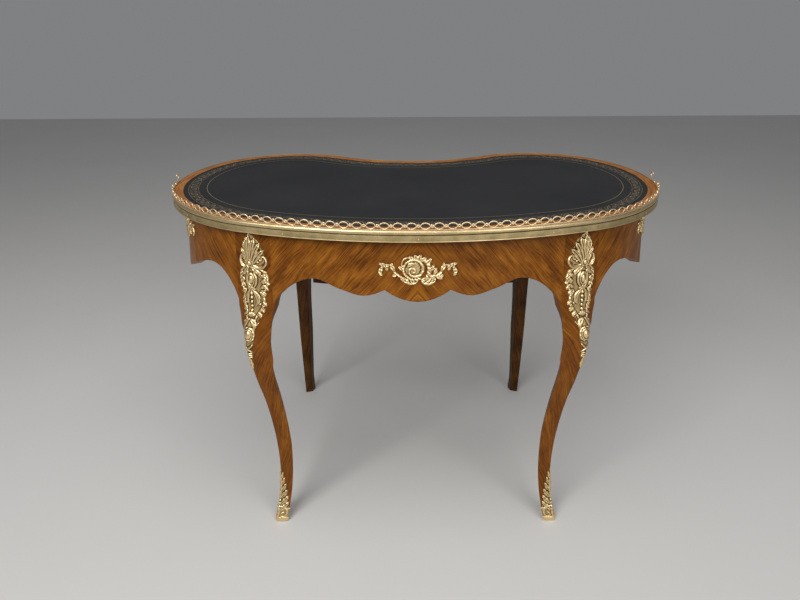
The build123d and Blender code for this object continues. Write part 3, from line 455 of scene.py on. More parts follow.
def line_at(where, width):
    """1 on a thin line at one distance from the edge of the top."""
    return t.math("LESS_THAN", t.math("ABSOLUTE", t.math("SUBTRACT", inset, where)), width / 2)


def wave(kind, repeats, height):
    """A sine or cosine along the edge, with so many repeats in each unit of the band."""
    turns = t.math("MULTIPLY", along, 2 * pi * repeats / band_repeat)
    return t.math("MULTIPLY", t.math(kind, turns), height)


# From -1 to 1 across the band: a stem that winds once in each unit, leaves that cross
# it twice as often and dots between them
across = t.math("DIVIDE", t.math("SUBTRACT", inset, band_middle), band_half)
stem = t.math("LESS_THAN", t.math("ABSOLUTE", t.math("SUBTRACT", across, wave("SINE", 1, 0.55))), 0.12)
sway = t.math("ABSOLUTE", t.math("ADD", across, wave("SINE", 2, 0.6)))
lobes = t.math("MULTIPLY", t.math("ABSOLUTE", wave("COSINE", 3, 1.0)), 0.35)
leaf_marks = t.math("LESS_THAN", t.math("ADD", sway, lobes), 0.27)
stretched = t.vector("MULTIPLY", t.node("ShaderNodeUVMap"), (330, 330, 1))
dots = t.node("ShaderNodeTexVoronoi", {"Vector": stretched, "Scale": 1.0, "Randomness": 0.6})
dots = t.math("LESS_THAN", dots, 0.30)
inside = t.math("LESS_THAN", t.math("ABSOLUTE", across), 1.0)
tooling = t.math("MULTIPLY", t.math("MAXIMUM", t.math("MAXIMUM", stem, leaf_marks), dots), inside)
for where in band_lines:
    tooling = t.math("MAXIMUM", tooling, line_at(where, 0.0009))
rubbed = t.span(t.noise(t.place(), 130, 4, 0.7), 0.36, 0.58)
gold = t.math("MAXIMUM", t.math("MULTIPLY", tooling, rubbed), line_at(inner_line, 0.0011))
hide = t.mix(t.span(t.noise(t.place(), 7), 0.3, 0.7), (0.016, 0.0165, 0.0175, 1), (0.022, 0.0225, 0.023, 1))
hide_grain = t.node("ShaderNodeTexVoronoi", {"Vector": t.place(), "Scale": 900})
pressed = t.math("SUBTRACT", t.math("MULTIPLY", hide_grain, 0.25), tooling)
t.feed(shader["Base Color"], t.mix(gold, hide, gold_tone))
t.feed(shader["Metallic"], t.math("MULTIPLY", gold, 0.6))
t.feed(shader["Roughness"], t.span(gold, 0, 1, 0.62, 0.42))
t.feed(shader["Normal"], t.bump(pressed, 0.25, 0.0004))
print("leather", leather_hide.name, "with", len(t.tree.nodes), "nodes")

# %% [markdown]
# ## Top
# Border, leather and brass edge are each a small profile carried round the outline,
# as a moulding plane would do. A curve with a bevel could do it too, but its profile
# would lean in the tight bends, and insets of the arcs don't. The middle of the
# leather is one flat face.
# %% Top
around = np.linspace(-half_outline, half_outline, 1201)[:-1]


def ring(name, profile, finish, lid=False, closed=False, **rest):
    """A profile of (inset, height) round the whole outline: the grid's rows are the
    profile's points, its columns are places along the edge."""
    insets, z = (column[:, None] + 0 * around for column in np.array(profile).T)
    x, y, _ = outline(around + 0 * insets, insets)
    faces = grid_faces(len(profile), len(around), closed, True)
    uv = np.stack([around + 0 * insets, insets], -1)
    caps = [np.arange(len(around)) + (len(profile) - 1) * len(around)] if lid else []
    return build(name, np.stack([x, y, z], -1), faces, finish, uv=uv, caps=caps, **rest)


skin_foot, leather_z, ease = top_height - 0.0019, top_height - 0.0008, 0.0002
b0, b1 = edge_thickness + seam, edge_thickness + border_width
hem = b1 + seam
leather_profile = [(hem, skin_foot), (hem, leather_z - 0.0003), (hem + 0.0003, leather_z)]
leather_profile += [(i, leather_z) for i in (0.03, 0.04, 0.05, 0.06, 0.07, 0.08, 0.1, 0.14, 0.2)]
ring("leather_top", leather_profile, leather_hide, lid=True, slot="leather", replaces=["leather_panel"])
border_profile = [(b0, skin_foot), (b0, top_height - ease), (b0 + ease, top_height),
                  ((b0 + b1) / 2, top_height),
                  (b1 - ease, top_height), (b1, top_height - ease), (b1, skin_foot)]
ring("border_top", border_profile, border_wood, slot="crossbanding", replaces=["border_crossbanding"])
print("leather starts", round(hem / MM, 1), "mm from the edge")

# %% [markdown]
# ## Brass edge
# The edge is a drawn moulding: a small lower lip, a flat fascia, a narrow groove and
# a round upper member that stands over the leather. Dirt and painted shade sit in the
# groove and under the lip, and the profile says where.
# %% Brass edge
lip = [(5.0, 0.0), (1.2, 0.0), (0.4, 0.3), (0.0, 1.0), (0.2, 1.8), (0.9, 2.2)]
groove = [(1.2, 12.0), (1.6, 12.4), (2.6, 12.7), (2.8, 13.3), (2.6, 13.8)]
crown = [(4.6 - 4.2 * cos(a), 17.8 + 4.8 * sin(a)) for a in np.linspace(-0.3 * pi, pi / 2, 14)]
edge_profile = [(a * MM, board_foot + z * MM) for a, z in lip + groove + crown + [(5.0, 22.6)]]
# Dirt and painted shade, darker in the groove and under the lip
edge_dirt_and_shade = [0.6, 0, 0, 0, 0, 0.35] + [0.2, 0.6, 0.9, 0.9, 0.7] + [0] * len(crown) + [0.3]
ring("edge_moulding", edge_profile, edge_metal, closed=True, slot="brass", replaces=["brass_edge"],
     values={"hollow": np.repeat(edge_dirt_and_shade, len(around))})
print("edge", round((edge_profile[-1][1] - board_foot) / MM, 1), "mm high")

# %% [markdown]
# ## Gallery
# A pierced strip stands on a small rail round the front and both ends. It is stamped
# from sheet: oval rings, one touching the next through a little round link. Each
# shape is made once, as a flat band with rounded edges, and set along the edge as
# whole arrays, which stays one light mesh where hundreds of objects would not.
# %% Gallery rail
gallery_inset = 0.0031
end_turn = float(np.arcsin(-end_centre[1] / (end_radius - gallery_inset))) - turn_1
gallery_s = STARTS[1] + end_radius * end_turn
rail_s = np.linspace(-gallery_s, gallery_s, 700)
rail_foot, rail_swell, rail_top = (top_height + up for up in (0.0008, 0.0013, 0.0023))
rail = np.array([(0.0016, rail_foot), (0.0014, rail_swell), (0.0016, rail_top),
                 (0.0046, rail_top), (0.0048, rail_swell), (0.0046, rail_foot)])
x, y, _ = outline(rail_s + 0 * rail[:, :1], rail[:, :1])
rail_end = np.arange(len(rail)) * len(rail_s)
build("gallery_rail_top", np.stack([x, y, rail[:, 1:] + 0 * x], -1), grid_faces(len(rail), len(rail_s), True),
      gallery_metal, slot="gilt_metal", replaces=["gallery_rail"],
      caps=[rail_end, (rail_end + len(rail_s) - 1)[::-1]])
print("rail", round(2 * gallery_s, 3), "m long")

# %% Gallery rings


def oval_band(rx, rz, thick_in, thick_y, n=36, m=12):
    """An oval ring standing in the XZ plane. Round the ring: (rx, rz) times cosine and
    sine. Round the section: the same with both raised to 0.55, which is squarer."""
    u = np.linspace(0, 2 * pi, n, endpoint=False)[:, None]
    w = np.linspace(0, 2 * pi, m, endpoint=False)[None, :]
    c, s = (np.sign(f) * np.abs(f) ** 0.55 for f in (np.cos(w), np.sin(w)))
    points = [(rx + thick_in * c) * np.cos(u), thick_y * s + 0 * u, (rz + thick_in * c) * np.sin(u)]
    return np.stack(points, -1).reshape(-1, 3), grid_faces(n, m, True, True)


def place_along(points, faces, s, inset, z0):
    """Copies of a small piece along the outline: its X follows the edge, its Y the
    normal inwards."""
    x, y, n = outline(s, inset)
    px = x[:, None] - points[None, :, 0] * n[:, 1:] - points[None, :, 1] * n[:, :1]
    py = y[:, None] + points[None, :, 0] * n[:, :1] - points[None, :, 1] * n[:, 1:]
    pz = z0 + points[None, :, 2] + 0 * px
    shift = (np.arange(len(s)) * len(points))[:, None, None]
    return np.stack([px, py, pz], -1).reshape(-1, 3), (faces[None] + shift).reshape(-1, 4)


front_run = (front_radius - gallery_inset) * (turn_1 + pi / 2)


def edge_place(run):
    """A length along the gallery's own line as a length along the edge of the top."""
    t = np.abs(run)
    on_front = t * front_radius / (front_radius - gallery_inset)
    on_end = STARTS[1] + (t - front_run) * end_radius / (end_radius - gallery_inset)
    return np.where(t < front_run, on_front, on_end) * np.sign(run)


pitch, ring_z = 0.0244, rail_top + 0.0061
units = int((front_run + (end_radius - gallery_inset) * end_turn - pitch) / (2 * pitch))
ring_runs = (np.arange(-2 * units - 1, 2 * units + 1) + 0.5) * pitch
big, small = oval_band(0.0083, 0.0055, 0.0009, 0.0009), oval_band(0.0023, 0.0019, 0.0011, 0.0008, 20)
rings = place_along(*big, edge_place(ring_runs), gallery_inset, ring_z)
links = place_along(*small, edge_place(ring_runs + pitch / 2), gallery_inset, ring_z)
points = np.concatenate([rings[0], links[0]])
faces = np.concatenate([rings[1], links[1] + len(rings[0])])
build("gallery_ring_row", points, faces, gallery_metal, slot="gilt_metal", replaces=["gallery_rings"])
print("gallery", len(ring_runs), "rings")

# %% [markdown]
# ## Legs
# A cabriole leg is sawn from one thick piece and rounded by hand. At the top it is a
# part of the wall; lower down it becomes a tapering square with a soft arris in
# front, which sways outwards at the knee, inwards at the calf and out again at the
# toe. A stack of sections gives all of that in one surface, with the same outline
# line as the walls at the top, where a box with bevels would show a joint.
# %% Shape of a leg
# Height, sway, width to the middle, width outwards and squareness, as shares
LEG_ROWS = np.array([
    (1.400, 0.00, 0.920, 0.530, 0.00), (1.060, 0.00, 0.920, 0.530, 0.00), (1.000, 0.00, 0.780, 0.530, 0.00),
    (0.962, 0.45, 0.810, 0.610, 0.22), (0.925, 0.95, 0.920, 0.650, 0.42), (0.880, 1.25, 0.865, 0.700, 0.66),
    (0.840, 1.25, 0.820, 0.620, 0.84), (0.800, 1.12, 0.776, 0.630, 0.95), (0.765, 0.98, 0.700, 0.690, 1.00),
    (0.695, 0.57, 0.646, 0.646, 1.00), (0.610, -0.10, 0.592, 0.592, 1.00), (0.505, -0.68, 0.565, 0.565, 1.00),
    (0.400, -1.05, 0.546, 0.546, 1.00), (0.295, -1.17, 0.496, 0.496, 1.00), (0.200, -1.03, 0.456, 0.456, 1.00),
    (0.105, -0.61, 0.415, 0.415, 1.00), (0.000, 0.46, 0.423, 0.423, 1.00),
])[::-1]
arris_softness = 0.0042


def between(a, b, n):
    """n points on the straight line from each a to its b, both left out."""
    w = np.linspace(0, 1, n + 2)[1:-1][None, :, None]
    return a[:, None] * (1 - w) + b[:, None] * w


class Leg:
    """One leg of the right-hand side; the left ones are its mirror images."""

    def __init__(self, word):
        front = word == "front"
        self.faces = 1 if front else -1
        self.centre = end_centre if front else lobe_centre
        self.radius = end_radius if front else lobe_radius
        self.angle = turn_1 + radians(1.275) if front else radians(81)
        inner_wing, outer_wing = front_wings if front else rear_wings
        self.inner = self.angle - inner_wing / (self.radius - wall_foot_inset) * self.faces
        self.outer = self.angle + outer_wing / (self.radius - wall_foot_inset) * self.faces
        turn = radians(-45) if front else radians(84)
        self.way = np.array([cos(turn), sin(turn)])
        self.sway = leg_sweep * (1 if front else rear_share)
        self.s_arris, self.s_inner, self.s_outer = map(self.to_outline, (self.angle, self.inner, self.outer))

    def to_outline(self, angle):
        """The place along the edge that a radial line from the arc's centre meets."""
        reach = self.radius - wall_foot_inset
        x, y = self.centre[0] + reach * cos(angle), self.centre[1] + reach * sin(angle)
        s = np.linspace(0, half_outline, 20001)
        ox, oy, _ = outline(s, wall_foot_inset)
        return float(s[np.argmin((ox - x) ** 2 + (oy - y) ** 2)])

    def on_wall(self, angle, z, depth=0.0):
        """The point in a direction from the arc's centre, depth behind the wall's face."""
        r = self.radius - wall_inset(z) - depth
        return np.stack([self.centre[0] + r * np.cos(angle), self.centre[1] + r * np.sin(angle)], -1)

    def skin(self, z, count=17):
        """The outer faces: rows are heights, columns run from the inner corner over
        the arris to the outer one. Each point is the wall's own, blended into that of
        a square with its corner at the arris by the squareness of its height."""
        z = np.asarray(z, float)
        rows = smooth_curve(np.minimum(z / ear, 1.3), LEG_ROWS[:, 0], LEG_ROWS[:, 1:])
        sway, in_side, out_side, square = rows.T
        above = z / ear >= 1
        sway, square = np.where(above, 0, sway), np.clip(np.where(above, 0, square), 0, 1)
        shift = self.way[None] * (self.sway * sway)[:, None]
        zw = np.maximum(z, ear)[:, None]
        s = np.concatenate([np.linspace(self.s_inner, self.s_arris, count),
                            np.linspace(self.s_arris, self.s_outer, count)[1:]])
        wx, wy, _ = outline(s + 0 * zw, wall_inset(zw) + 0 * s)
        wall = np.stack([wx, wy], -1) + shift[:, None]
        corner = self.on_wall(self.angle, np.array([ear])) + shift
        near, far = knee_width * in_side, knee_width * out_side
        k = np.linspace(1, 0, count)
        inner = np.stack([-near[:, None] * k, 0 * near[:, None] * k], -1)
        outer = np.stack([0 * far[:, None] * k, self.faces * far[:, None] * k[::-1]], -1)
        flat = corner[:, None] + np.concatenate([inner, outer[:, 1:]], 1)
        from_arris = np.abs(np.arange(2 * count - 1) - (count - 1)) / (count - 1) * near[:, None]
        pull = np.clip(1 - from_arris / arris_softness, 0, 1) ** 2 * arris_softness * 0.25
        flat = flat + pull[..., None] * np.array([-1.0, self.faces])
        q = square[:, None, None]
        return wall * (1 - q) + flat * q, corner, near, far, square, shift

    def loop(self, z, count=17):
        """The whole closed section: the outer faces, and three straight hidden ones
        between their ends and two corners behind them."""
        skin, corner, near, far, square, shift = self.skin(z, count)
        zw, q = np.maximum(z, ear), square[:, None]
        depth = np.interp(z, [ear - 0.03, ear + 0.09], [0.012, post_depth])
        inner_back = (self.on_wall(self.inner, zw, depth) + shift) * (1 - q)
        inner_back += q * (corner + np.stack([-near * 0.8, self.faces * far * 0.72], -1))
        outer_back = (self.on_wall(self.outer, zw, depth) + shift) * (1 - q)
        outer_back += q * (corner + np.stack([-near * 0.72, self.faces * far * 0.8], -1))
        return np.concatenate([
            skin, between(skin[:, -1], outer_back, 5), outer_back[:, None],
            between(outer_back, inner_back, 5), inner_back[:, None], between(inner_back, skin[:, 0], 5)], 1)


LEGS = {"front": Leg("front"), "rear": Leg("rear")}
front_leg, rear_leg = LEGS["front"], LEGS["rear"]
print("arris at", round(front_leg.s_arris, 4), round(rear_leg.s_arris, 4), "m along the edge")

# %% [markdown]
# ## Veneer on legs and walls
# The veneer of the frieze leans by 48 degrees to both sides of each leg, so that the
# figure meets in a point there. On a leg it leans in the same way at the top and
# runs down the leg below the knee. This is laid out in the UV map, in metres.
# %% Legs
figure_lean = radians(48)


def wall_grain(d, z, shift):
    """Grain coordinates on a wall: distance and height turned by the lean."""
    along = d * cos(figure_lean) + z * sin(figure_lean)
    across = -d * sin(figure_lean) + z * cos(figure_lean)
    return np.stack([along + shift, across + shift * 3], -1)


def leg_grain(d, z, shift):
    """The same on a leg, but the height bends the grain ever less towards the foot:
    by 0.67 of it above 0.58 m, by 0.20 of it below 0.35 m, smoothly between."""
    bend = 0.20 * z + 0.47 * np.where(z < 0.35, 0, np.where(z < 0.58, (z - 0.35) ** 2 / 0.46, z - 0.465))
    along = d * cos(figure_lean) + z * sin(figure_lean)
    return np.stack([along + shift, -d * sin(figure_lean) + bend + shift * 3], -1)


for word, leg in LEGS.items():
    # The rear legs take the darker veneer, which is painted shade
    sole, grain_start, wood = (0.010, 0.37, leg_wood) if word == "front" else (0.0, 1.71, shaded_rear_wood)
    heights = np.concatenate([np.linspace(sole, ear, 150), np.linspace(ear + 0.004, board_foot - seam, 20)])
    section = leg.loop(heights)
    steps = np.linalg.norm(np.diff(section, axis=1), axis=2)
    run = np.concatenate([np.zeros((len(heights), 1)), np.cumsum(steps, 1)], 1)
    d = np.abs(run - run[:, 16:17])
    z = heights[:, None] + 0 * d
    uv = leg_grain(d, z, grain_start)
    for side, name in ((1, "right"), (-1, "left")):
        points = np.concatenate([section * np.array([side, 1.0]), z[..., None]], -1)
        faces = grid_faces(*z.shape, False, True)
        foot_cap = np.arange(z.shape[1])
        caps = [foot_cap, (foot_cap + z.size - z.shape[1])[::-1]]
        if outside_in(points, faces):
            faces = faces[:, ::-1]
        else:
            caps = [c[::-1] for c in caps]
        own_grain = uv + (0.0 if side > 0 else 0.53)
        build(f"leg_{word}_{name}_shaped", points, faces, wood, slot="veneer", uv=own_grain, caps=caps,
              replaces=[f"leg_{word}_{name}"], sharp=38)
print("legs of", section.shape[0], "sections with", section.shape[1], "points")

# %% [markdown]
# ## Frieze walls
# The walls are bent boards with a shaped lower edge: in front a shallow lobe between
# two cusps, then an arch on each side. Each is a closed band that runs down its
# outside, round the softened lower edge and up its inside. Cutting a board with a
# boolean would leave long thin faces that shade badly.
# %% Wall band
edge_softness, read_inset = 0.0016, 0.015


def wall_band(name, s, foot, node, grain_run):
    """A wall from its lower edge to the top. Rows: straight down the face, a quarter
    turn inwards, a quarter turn outwards and straight up again."""
    rise = np.linspace(1, 0, 26)[:, None] + 0 * foot
    turn = np.linspace(0, pi / 2, 5)[1:, None] + 0 * foot
    face = foot + edge_softness + (board_foot - seam - foot - edge_softness) * rise
    round_z, round_in = foot + edge_softness * (1 - np.sin(turn)), edge_softness * (1 - np.cos(turn))
    z = np.concatenate([face, round_z, round_z[::-1], face[::-1]])
    depth = np.concatenate([0 * rise, round_in, wall_thickness - round_in[::-1], 0 * rise + wall_thickness])
    x, y, _ = outline(s + 0 * z, wall_inset(z) + depth)
    points, faces = np.stack([x, y, z], -1), grid_faces(len(z), len(s), True)
    rim = np.arange(len(z)) * len(s)
    caps = [rim, (rim + len(s) - 1)[::-1]]
    if outside_in(points, faces):
        faces, caps = faces[:, ::-1], [c[::-1] for c in caps]
    # A shift of its own for each wall, so that no two show the same figure
    shift = sum(ord(letter) for letter in name) % 37 * 0.13
    uv = wall_grain(grain_run(s) + 0 * z, z, shift)
    return build(name, points, faces, frieze_wood, slot="veneer", uv=uv, caps=caps, replaces=[node], sharp=50)


print("wall", round(wall_thickness / MM), "mm thick")

# %% Front wall
# Share of the half width, share of the frieze's height above the ears
half_front = float(front_leg.on_wall(front_leg.inner, np.array([ear]))[0][0])
front_curve = np.array([(0.2195, 0.372), (0.356, 0.295), (0.52, 0.36), (0.703, 0.467), (0.85, 0.365),
                        (0.931, 0.24), (0.982, 0.12), (1.0, 0.0)])
fx, fz = front_curve[:, 0] * half_front, ear + front_curve[:, 1] * frieze
cusp_x, cusp_z, lobe_z = fx[0], fz[0], ear + 0.232 * frieze


def front_foot(x):
    """Lower edge of the front wall: a parabola between the cusps, then the curve."""
    ax = np.abs(x)
    lobe = lobe_z + (cusp_z - lobe_z) * (ax / cusp_x) ** 2
    start_slope = (fz[1] - fz[0]) / (fx[1] - fx[0]) * 1.4
    return np.where(ax < cusp_x, lobe, smooth_curve(np.maximum(ax, cusp_x), fx, fz, ends=(start_slope, -4.0)))


s_try = np.linspace(0, 0.2, 4001)
s_cusp = float(s_try[np.argmin(np.abs(outline(s_try, read_inset)[0] - cusp_x))])
outer_s = s_cusp + (front_leg.s_inner - seam - s_cusp) * np.sin(pi / 2 * np.linspace(0, 1, 170))
half = np.unique(np.concatenate([np.linspace(0, s_cusp, 40), outer_s]))
front_s = np.concatenate([-half[::-1], half[1:]])
wall_band("front_wall", front_s, front_foot(outline(front_s, read_inset)[0]), "apron_front",
          lambda s: front_leg.s_arris - np.abs(s))
print("front wall", round(2 * half_front, 3), "m wide, cusps at", round(cusp_x, 3))

# %% End walls
# Share of the half depth from the wall's middle, share of the frieze's height
end_curve = np.array([(0, 0.03), (0.2, 0.05), (0.4, 0.14), (0.56, 0.265), (0.69, 0.371), (0.80, 0.45),
                      (0.86, 0.458), (0.92, 0.395), (0.96, 0.275), (0.985, 0.14), (1.0, 0.0)])
end_low, end_high = (leg.on_wall(leg.outer, np.array([ear]))[0][1] for leg in (front_leg, rear_leg))
end_s = np.linspace(front_leg.s_outer + seam, rear_leg.s_outer - seam, 260)
from_middle = np.abs(outline(end_s, read_inset)[1] - (end_low + end_high) / 2)
end_run, end_rise = end_curve[:, 0] * (end_high - end_low) / 2, ear + end_curve[:, 1] * frieze
end_foot = smooth_curve(from_middle, end_run, end_rise, ends=(0.0, -6.0))
for side, name in ((1, "right"), (-1, "left")):
    wall_band(f"end_wall_{name}", end_s * side, end_foot, f"apron_end_{name}",
              lambda s: np.abs(s) - front_leg.s_arris)
print("end walls from y", round(float(end_low), 3), "to", round(float(end_high), 3))

# %% [markdown]
# ## Cast mounts
# The mounts are cast and chased: scrolls, leaves, shells and bosses that stand 3 to
# 5 mm proud of the wood. Sculpted freely they would have no clean outline, so each is
# worked like a founder's pattern. Strokes are laid on a flat sheet of heights, where
# the higher one always stays on top, and the finished relief is wrapped on the wood.
# Where nothing is laid, the mount is pierced and the wood shows.
# %% Relief sheet


class Relief:
    """Heights over (across, up), and how far each cell lies inside the outline, all in
    millimetres."""

    def __init__(self, left, right, low, high, cell=0.7):
        self.cell = cell
        self.A, self.Z = np.meshgrid(np.arange(left, right + cell, cell), np.arange(low, high + cell, cell))
        self.height = np.zeros_like(self.A)
        self.edge = np.full_like(self.A, -9.0)

    def lay(self, height, edge):
        """Lays one stroke over what is there: the higher of the two stays."""
        self.height = np.maximum(self.height, np.where(edge > -0.4, height, 0))
        self.edge = np.maximum(self.edge, edge)

    def nearest(self, points, steps=10):
        """The distance of each cell from a smooth path through the points, and the
        share of the way along it: the least over the path's short straight steps."""
        points = np.asarray(points, float)
        k = np.linspace(0, len(points) - 1, (len(points) - 1) * steps + 1)
        path = smooth_curve(k, np.arange(len(points)), points)
        step = np.diff(path, axis=0)
        size = np.maximum((step**2).sum(1), 1e-9)
        run = np.concatenate([[0], np.cumsum(np.sqrt(size))])
        best, share = np.full(self.A.shape, 1e9), np.zeros_like(self.A)
        for (px, pz), (dx, dz), q, begin in zip(path[:-1], step, size, run):
            k = np.clip(((self.A - px) * dx + (self.Z - pz) * dz) / q, 0, 1)
            d = np.hypot(self.A - px - dx * k, self.Z - pz - dz * k)
            near = d < best
            best = np.where(near, d, best)
            share = np.where(near, (begin + k * sqrt(q)) / run[-1], share)
        return best, share


print("a sheet has cells of", Relief(0, 1, 0, 1).cell, "mm")

# %% Strokes


def rod(sheet, points, widths, height, steps=10):
    """A half-round stroke along a path: height times the root of 1 - (d / w)**2. Its
    widths are read along the path."""
    d, t = sheet.nearest(points, steps)
    w = np.interp(t, np.linspace(0, 1, len(widths)), widths)
    sheet.lay(height * np.sqrt(np.clip(1 - (d / w) ** 2, 0, 1)) * np.clip(w / max(widths), 0.45, 1), w - d)


def leaf(sheet, points, width, height, lobes=4, vein=0.35):
    """A leaf along a path: it swells and tapers, its edge is cut into lobes, a rib runs
    to every lobe and a vein is sunk down its middle."""
    d, t = sheet.nearest(points)
    body = width * (0.25 + 0.75 * np.sin(pi * np.clip(t, 0, 1) ** 0.75)) * np.clip((1 - t) * 5, 0.15, 1)
    ribs = np.abs(np.cos(pi * lobes * (t - 0.55 * d / max(width, 1))))
    w = body * (0.80 + 0.20 * ribs)
    u = np.clip(d / np.maximum(w, 0.01), 0, 1)
    trough = 1 - vein * np.exp(-((d / (0.12 * width + 0.25)) ** 2))
    sheet.lay(height * np.sqrt(np.clip(1 - u**2.6, 0, 1)) * (0.72 + 0.28 * ribs) * trough, w - d)


def dome(sheet, a, z, ra, rz, height, rim=0.0):
    """An oval boss, the upper half of an ellipsoid, with a round rim if wanted."""
    q = np.hypot((sheet.A - a) / ra, (sheet.Z - z) / rz)
    small = min(ra, rz)
    sheet.lay(height * np.sqrt(np.clip(1 - q**2, 0, 1)), (1 - q) * small)
    if rim:
        d = np.abs(q - 1 - rim / small) * small
        sheet.lay(height * 0.8 * np.sqrt(np.clip(1 - (d / rim) ** 2, 0, 1)), rim - d)


def shell(sheet, a, z, radius, first, last, ribs, height):
    """A fan of rounded ribs about a point, between two directions in degrees: the
    ribs are the absolute sine of the share of the way round."""
    r = np.hypot(sheet.A - a, sheet.Z - z)
    t = (np.degrees(np.arctan2(sheet.Z - z, sheet.A - a)) - first) % 360
    share = t / (last - first)
    wave = np.abs(np.sin(pi * ribs * share))
    reach = radius * (0.86 + 0.14 * wave)
    edge = np.where((share >= 0) & (share <= 1), reach - r, -np.abs(reach))
    swell = np.sqrt(np.clip(1.02 - (r / reach) ** 4, 0, 1)) * (0.6 + 0.4 * r / radius)
    sheet.lay(height * (0.55 + 0.45 * wave) * swell, edge)


def chase(sheet, points, width, depth):
    """A chased line: takes a share of the height away along a path."""
    d, _ = sheet.nearest(points)
    sheet.height *= 1 - depth * np.exp(-((d / width) ** 2))


print("strokes: rod, leaf, dome, shell and chased line")

# %% [markdown]
# ## From a sheet to a cast
# The cells inside the outline become quads, and the points on their rim are pulled
# onto the outline itself, which keeps it smooth at a coarse cell. A flat back closes
# the cast. What lies lower than its surroundings is noted as hollow, and the gilt
# turns brown there, with dirt and painted shade. The sheet is then wrapped on a leg
# or on the frieze.
# %% Mesh of a relief


def blur(field, own, repeats):
    """Each cell becomes the mean of its four neighbours and own times itself."""
    for _ in range(repeats):
        near = np.roll(field, 1, 0) + np.roll(field, -1, 0) + np.roll(field, 1, 1) + np.roll(field, -1, 1)
        field = (own * field + near) / (own + 4)
    return field


def relief_mesh(sheet):
    """Points (across, up, height), quads and hollows of a sheet's cast. The height is
    the sheet's, blurred a little, plus 0.5 mm. A rim point moves down the slope of its
    distance to the outline by just that distance. Hollow is how far the height lies
    under its own blurred copy, and more where hardly anything is laid."""
    inside = sheet.edge > 0
    rows, columns = np.nonzero(inside[:-1, :-1] & inside[1:, :-1] & inside[:-1, 1:] & inside[1:, 1:])
    n = sheet.A.shape[1]
    first = rows * n + columns
    used, index = np.unique(np.stack([first, first + 1, first + n + 1, first + n], -1), return_inverse=True)
    quads = index.reshape(-1, 4)
    sides = np.concatenate([quads[:, [0, 1]], quads[:, [1, 2]], quads[:, [2, 3]], quads[:, [3, 0]]])
    _, where, shared = np.unique(np.sort(sides, 1), axis=0, return_index=True, return_counts=True)
    rim = sides[where[shared == 1]]
    on_rim = np.zeros(len(used), bool)
    on_rim[rim.ravel()] = True

    gz, ga = np.gradient(sheet.edge, sheet.cell)
    slope = np.stack([ga.ravel()[used], gz.ravel()[used]], -1)
    steep = np.maximum((slope**2).sum(1), 0.3)
    past = np.where(on_rim, np.clip(sheet.edge.ravel()[used], 0, sheet.cell * 1.1), 0)
    flat = np.stack([sheet.A.ravel()[used], sheet.Z.ravel()[used]], -1) - past[:, None] * slope / steep[:, None]

    height = blur(sheet.height, 2, 2)
    low = blur(height, 1, 5)
    # Hollow: dirt and painted shade in the recesses and on the thin ground
    hollow = np.clip((low - height) * 2.2 + 0.42 * np.clip(1 - height / 1.3, 0, 1), 0, 1).ravel()[used]
    front = np.column_stack([flat, np.where(on_rim, 0.35, 0.5 + height.ravel()[used])])
    back = np.column_stack([flat, np.full(len(flat), -0.5)])
    walls = np.column_stack([rim[:, 1], rim[:, 0], rim[:, 0] + len(front), rim[:, 1] + len(front)])
    faces = np.concatenate([quads, quads[:, ::-1] + len(front), walls])
    hollow = np.concatenate([np.where(on_rim, 0.55, hollow), np.full(len(back), 0.8)])
    return np.concatenate([front, back]), faces, hollow


print("a bump of 1 blurs to", round(float(blur(np.eye(1, 25, 12).reshape(5, 5), 2, 2).max()), 2))

# %% Wrap on the wood


def on_leg(leg, points):
    """Wraps sheet points on a leg: across is the distance from the arris along the
    skin, positive towards the middle, and up is the height from the floor."""
    across, up, height = (points * MM).T
    levels, row = np.unique(np.round(up, 5), return_inverse=True)
    mid = 32
    skin = leg.skin(levels, mid + 1)[0]
    inner = np.linalg.norm(skin[:, mid] - skin[:, 0], axis=1)
    outer = np.linalg.norm(skin[:, mid] - skin[:, -1], axis=1)
    column = mid - across / np.where(across > 0, inner[row], outer[row]) * mid
    column = np.clip(column, 0, 2 * mid - 0.001)

    def at(k):
        low = np.floor(k).astype(int)
        part = (k - low)[:, None]
        return skin[row, low] * (1 - part) + skin[row, np.minimum(low + 1, 2 * mid)] * part

    way = at(np.clip(column + 1.2, 0, 2 * mid - 0.001)) - at(np.clip(column - 1.2, 0, 2 * mid))
    way /= np.linalg.norm(way, axis=1)[:, None]
    normal = np.stack([way[:, 1], -way[:, 0]], -1) * leg.faces
    return np.column_stack([at(column) + normal * height[:, None], up])


def on_frieze(s_middle, z_middle, points):
    """Wraps sheet points on the frieze about a place on the outline: across runs along
    the edge, up is added to the height, and the relief is taken off the wall's inset."""
    across, up, height = (points * MM).T
    x, y, _ = outline(s_middle + across, wall_inset(z_middle + up) - height)
    return np.column_stack([x, y, z_middle + up])


def cast(name, points, faces, hollow, side=1, **rest):
    """A mount's mesh on the right, or its mirror image on the left."""
    points = points * np.array([side, 1, 1])
    if outside_in(points, faces):
        faces = faces[:, ::-1]
    return build(name, points, faces, mount_metal, slot="gilt_metal", values={"hollow": hollow}, sharp=60,
                 **rest)


print("knee mounts stand on skins of", front_leg.skin(np.array([0.6]))[0].shape[1], "points")

# %% [markdown]
# ## Knee mounts
# A tall mount covers the arris of each knee: a palmette on top, a framed cabochon, a
# long leafy scroll on each side, a roundel, a ribbed collar and a hanging leaf. It is
# laid out for the side towards the middle, in millimetres from the arris and from
# the floor. The other side repeats it, narrower, because the leg is narrower there.
# %% Knee mount strokes
knee = Relief(-31, 45, 430, 730)


def outer_share(z):
    """How wide the outward side of the mount is, as a share of the other."""
    return np.interp(z, [431, 520, 600, 730], [0.80, 0.68, 0.54, 0.50])


def on_side(way, *points):
    """Points of the inner side as they are, or their places on the outer side."""
    return [(a if way > 0 else -a * outer_share(z), z) for a, z in points]


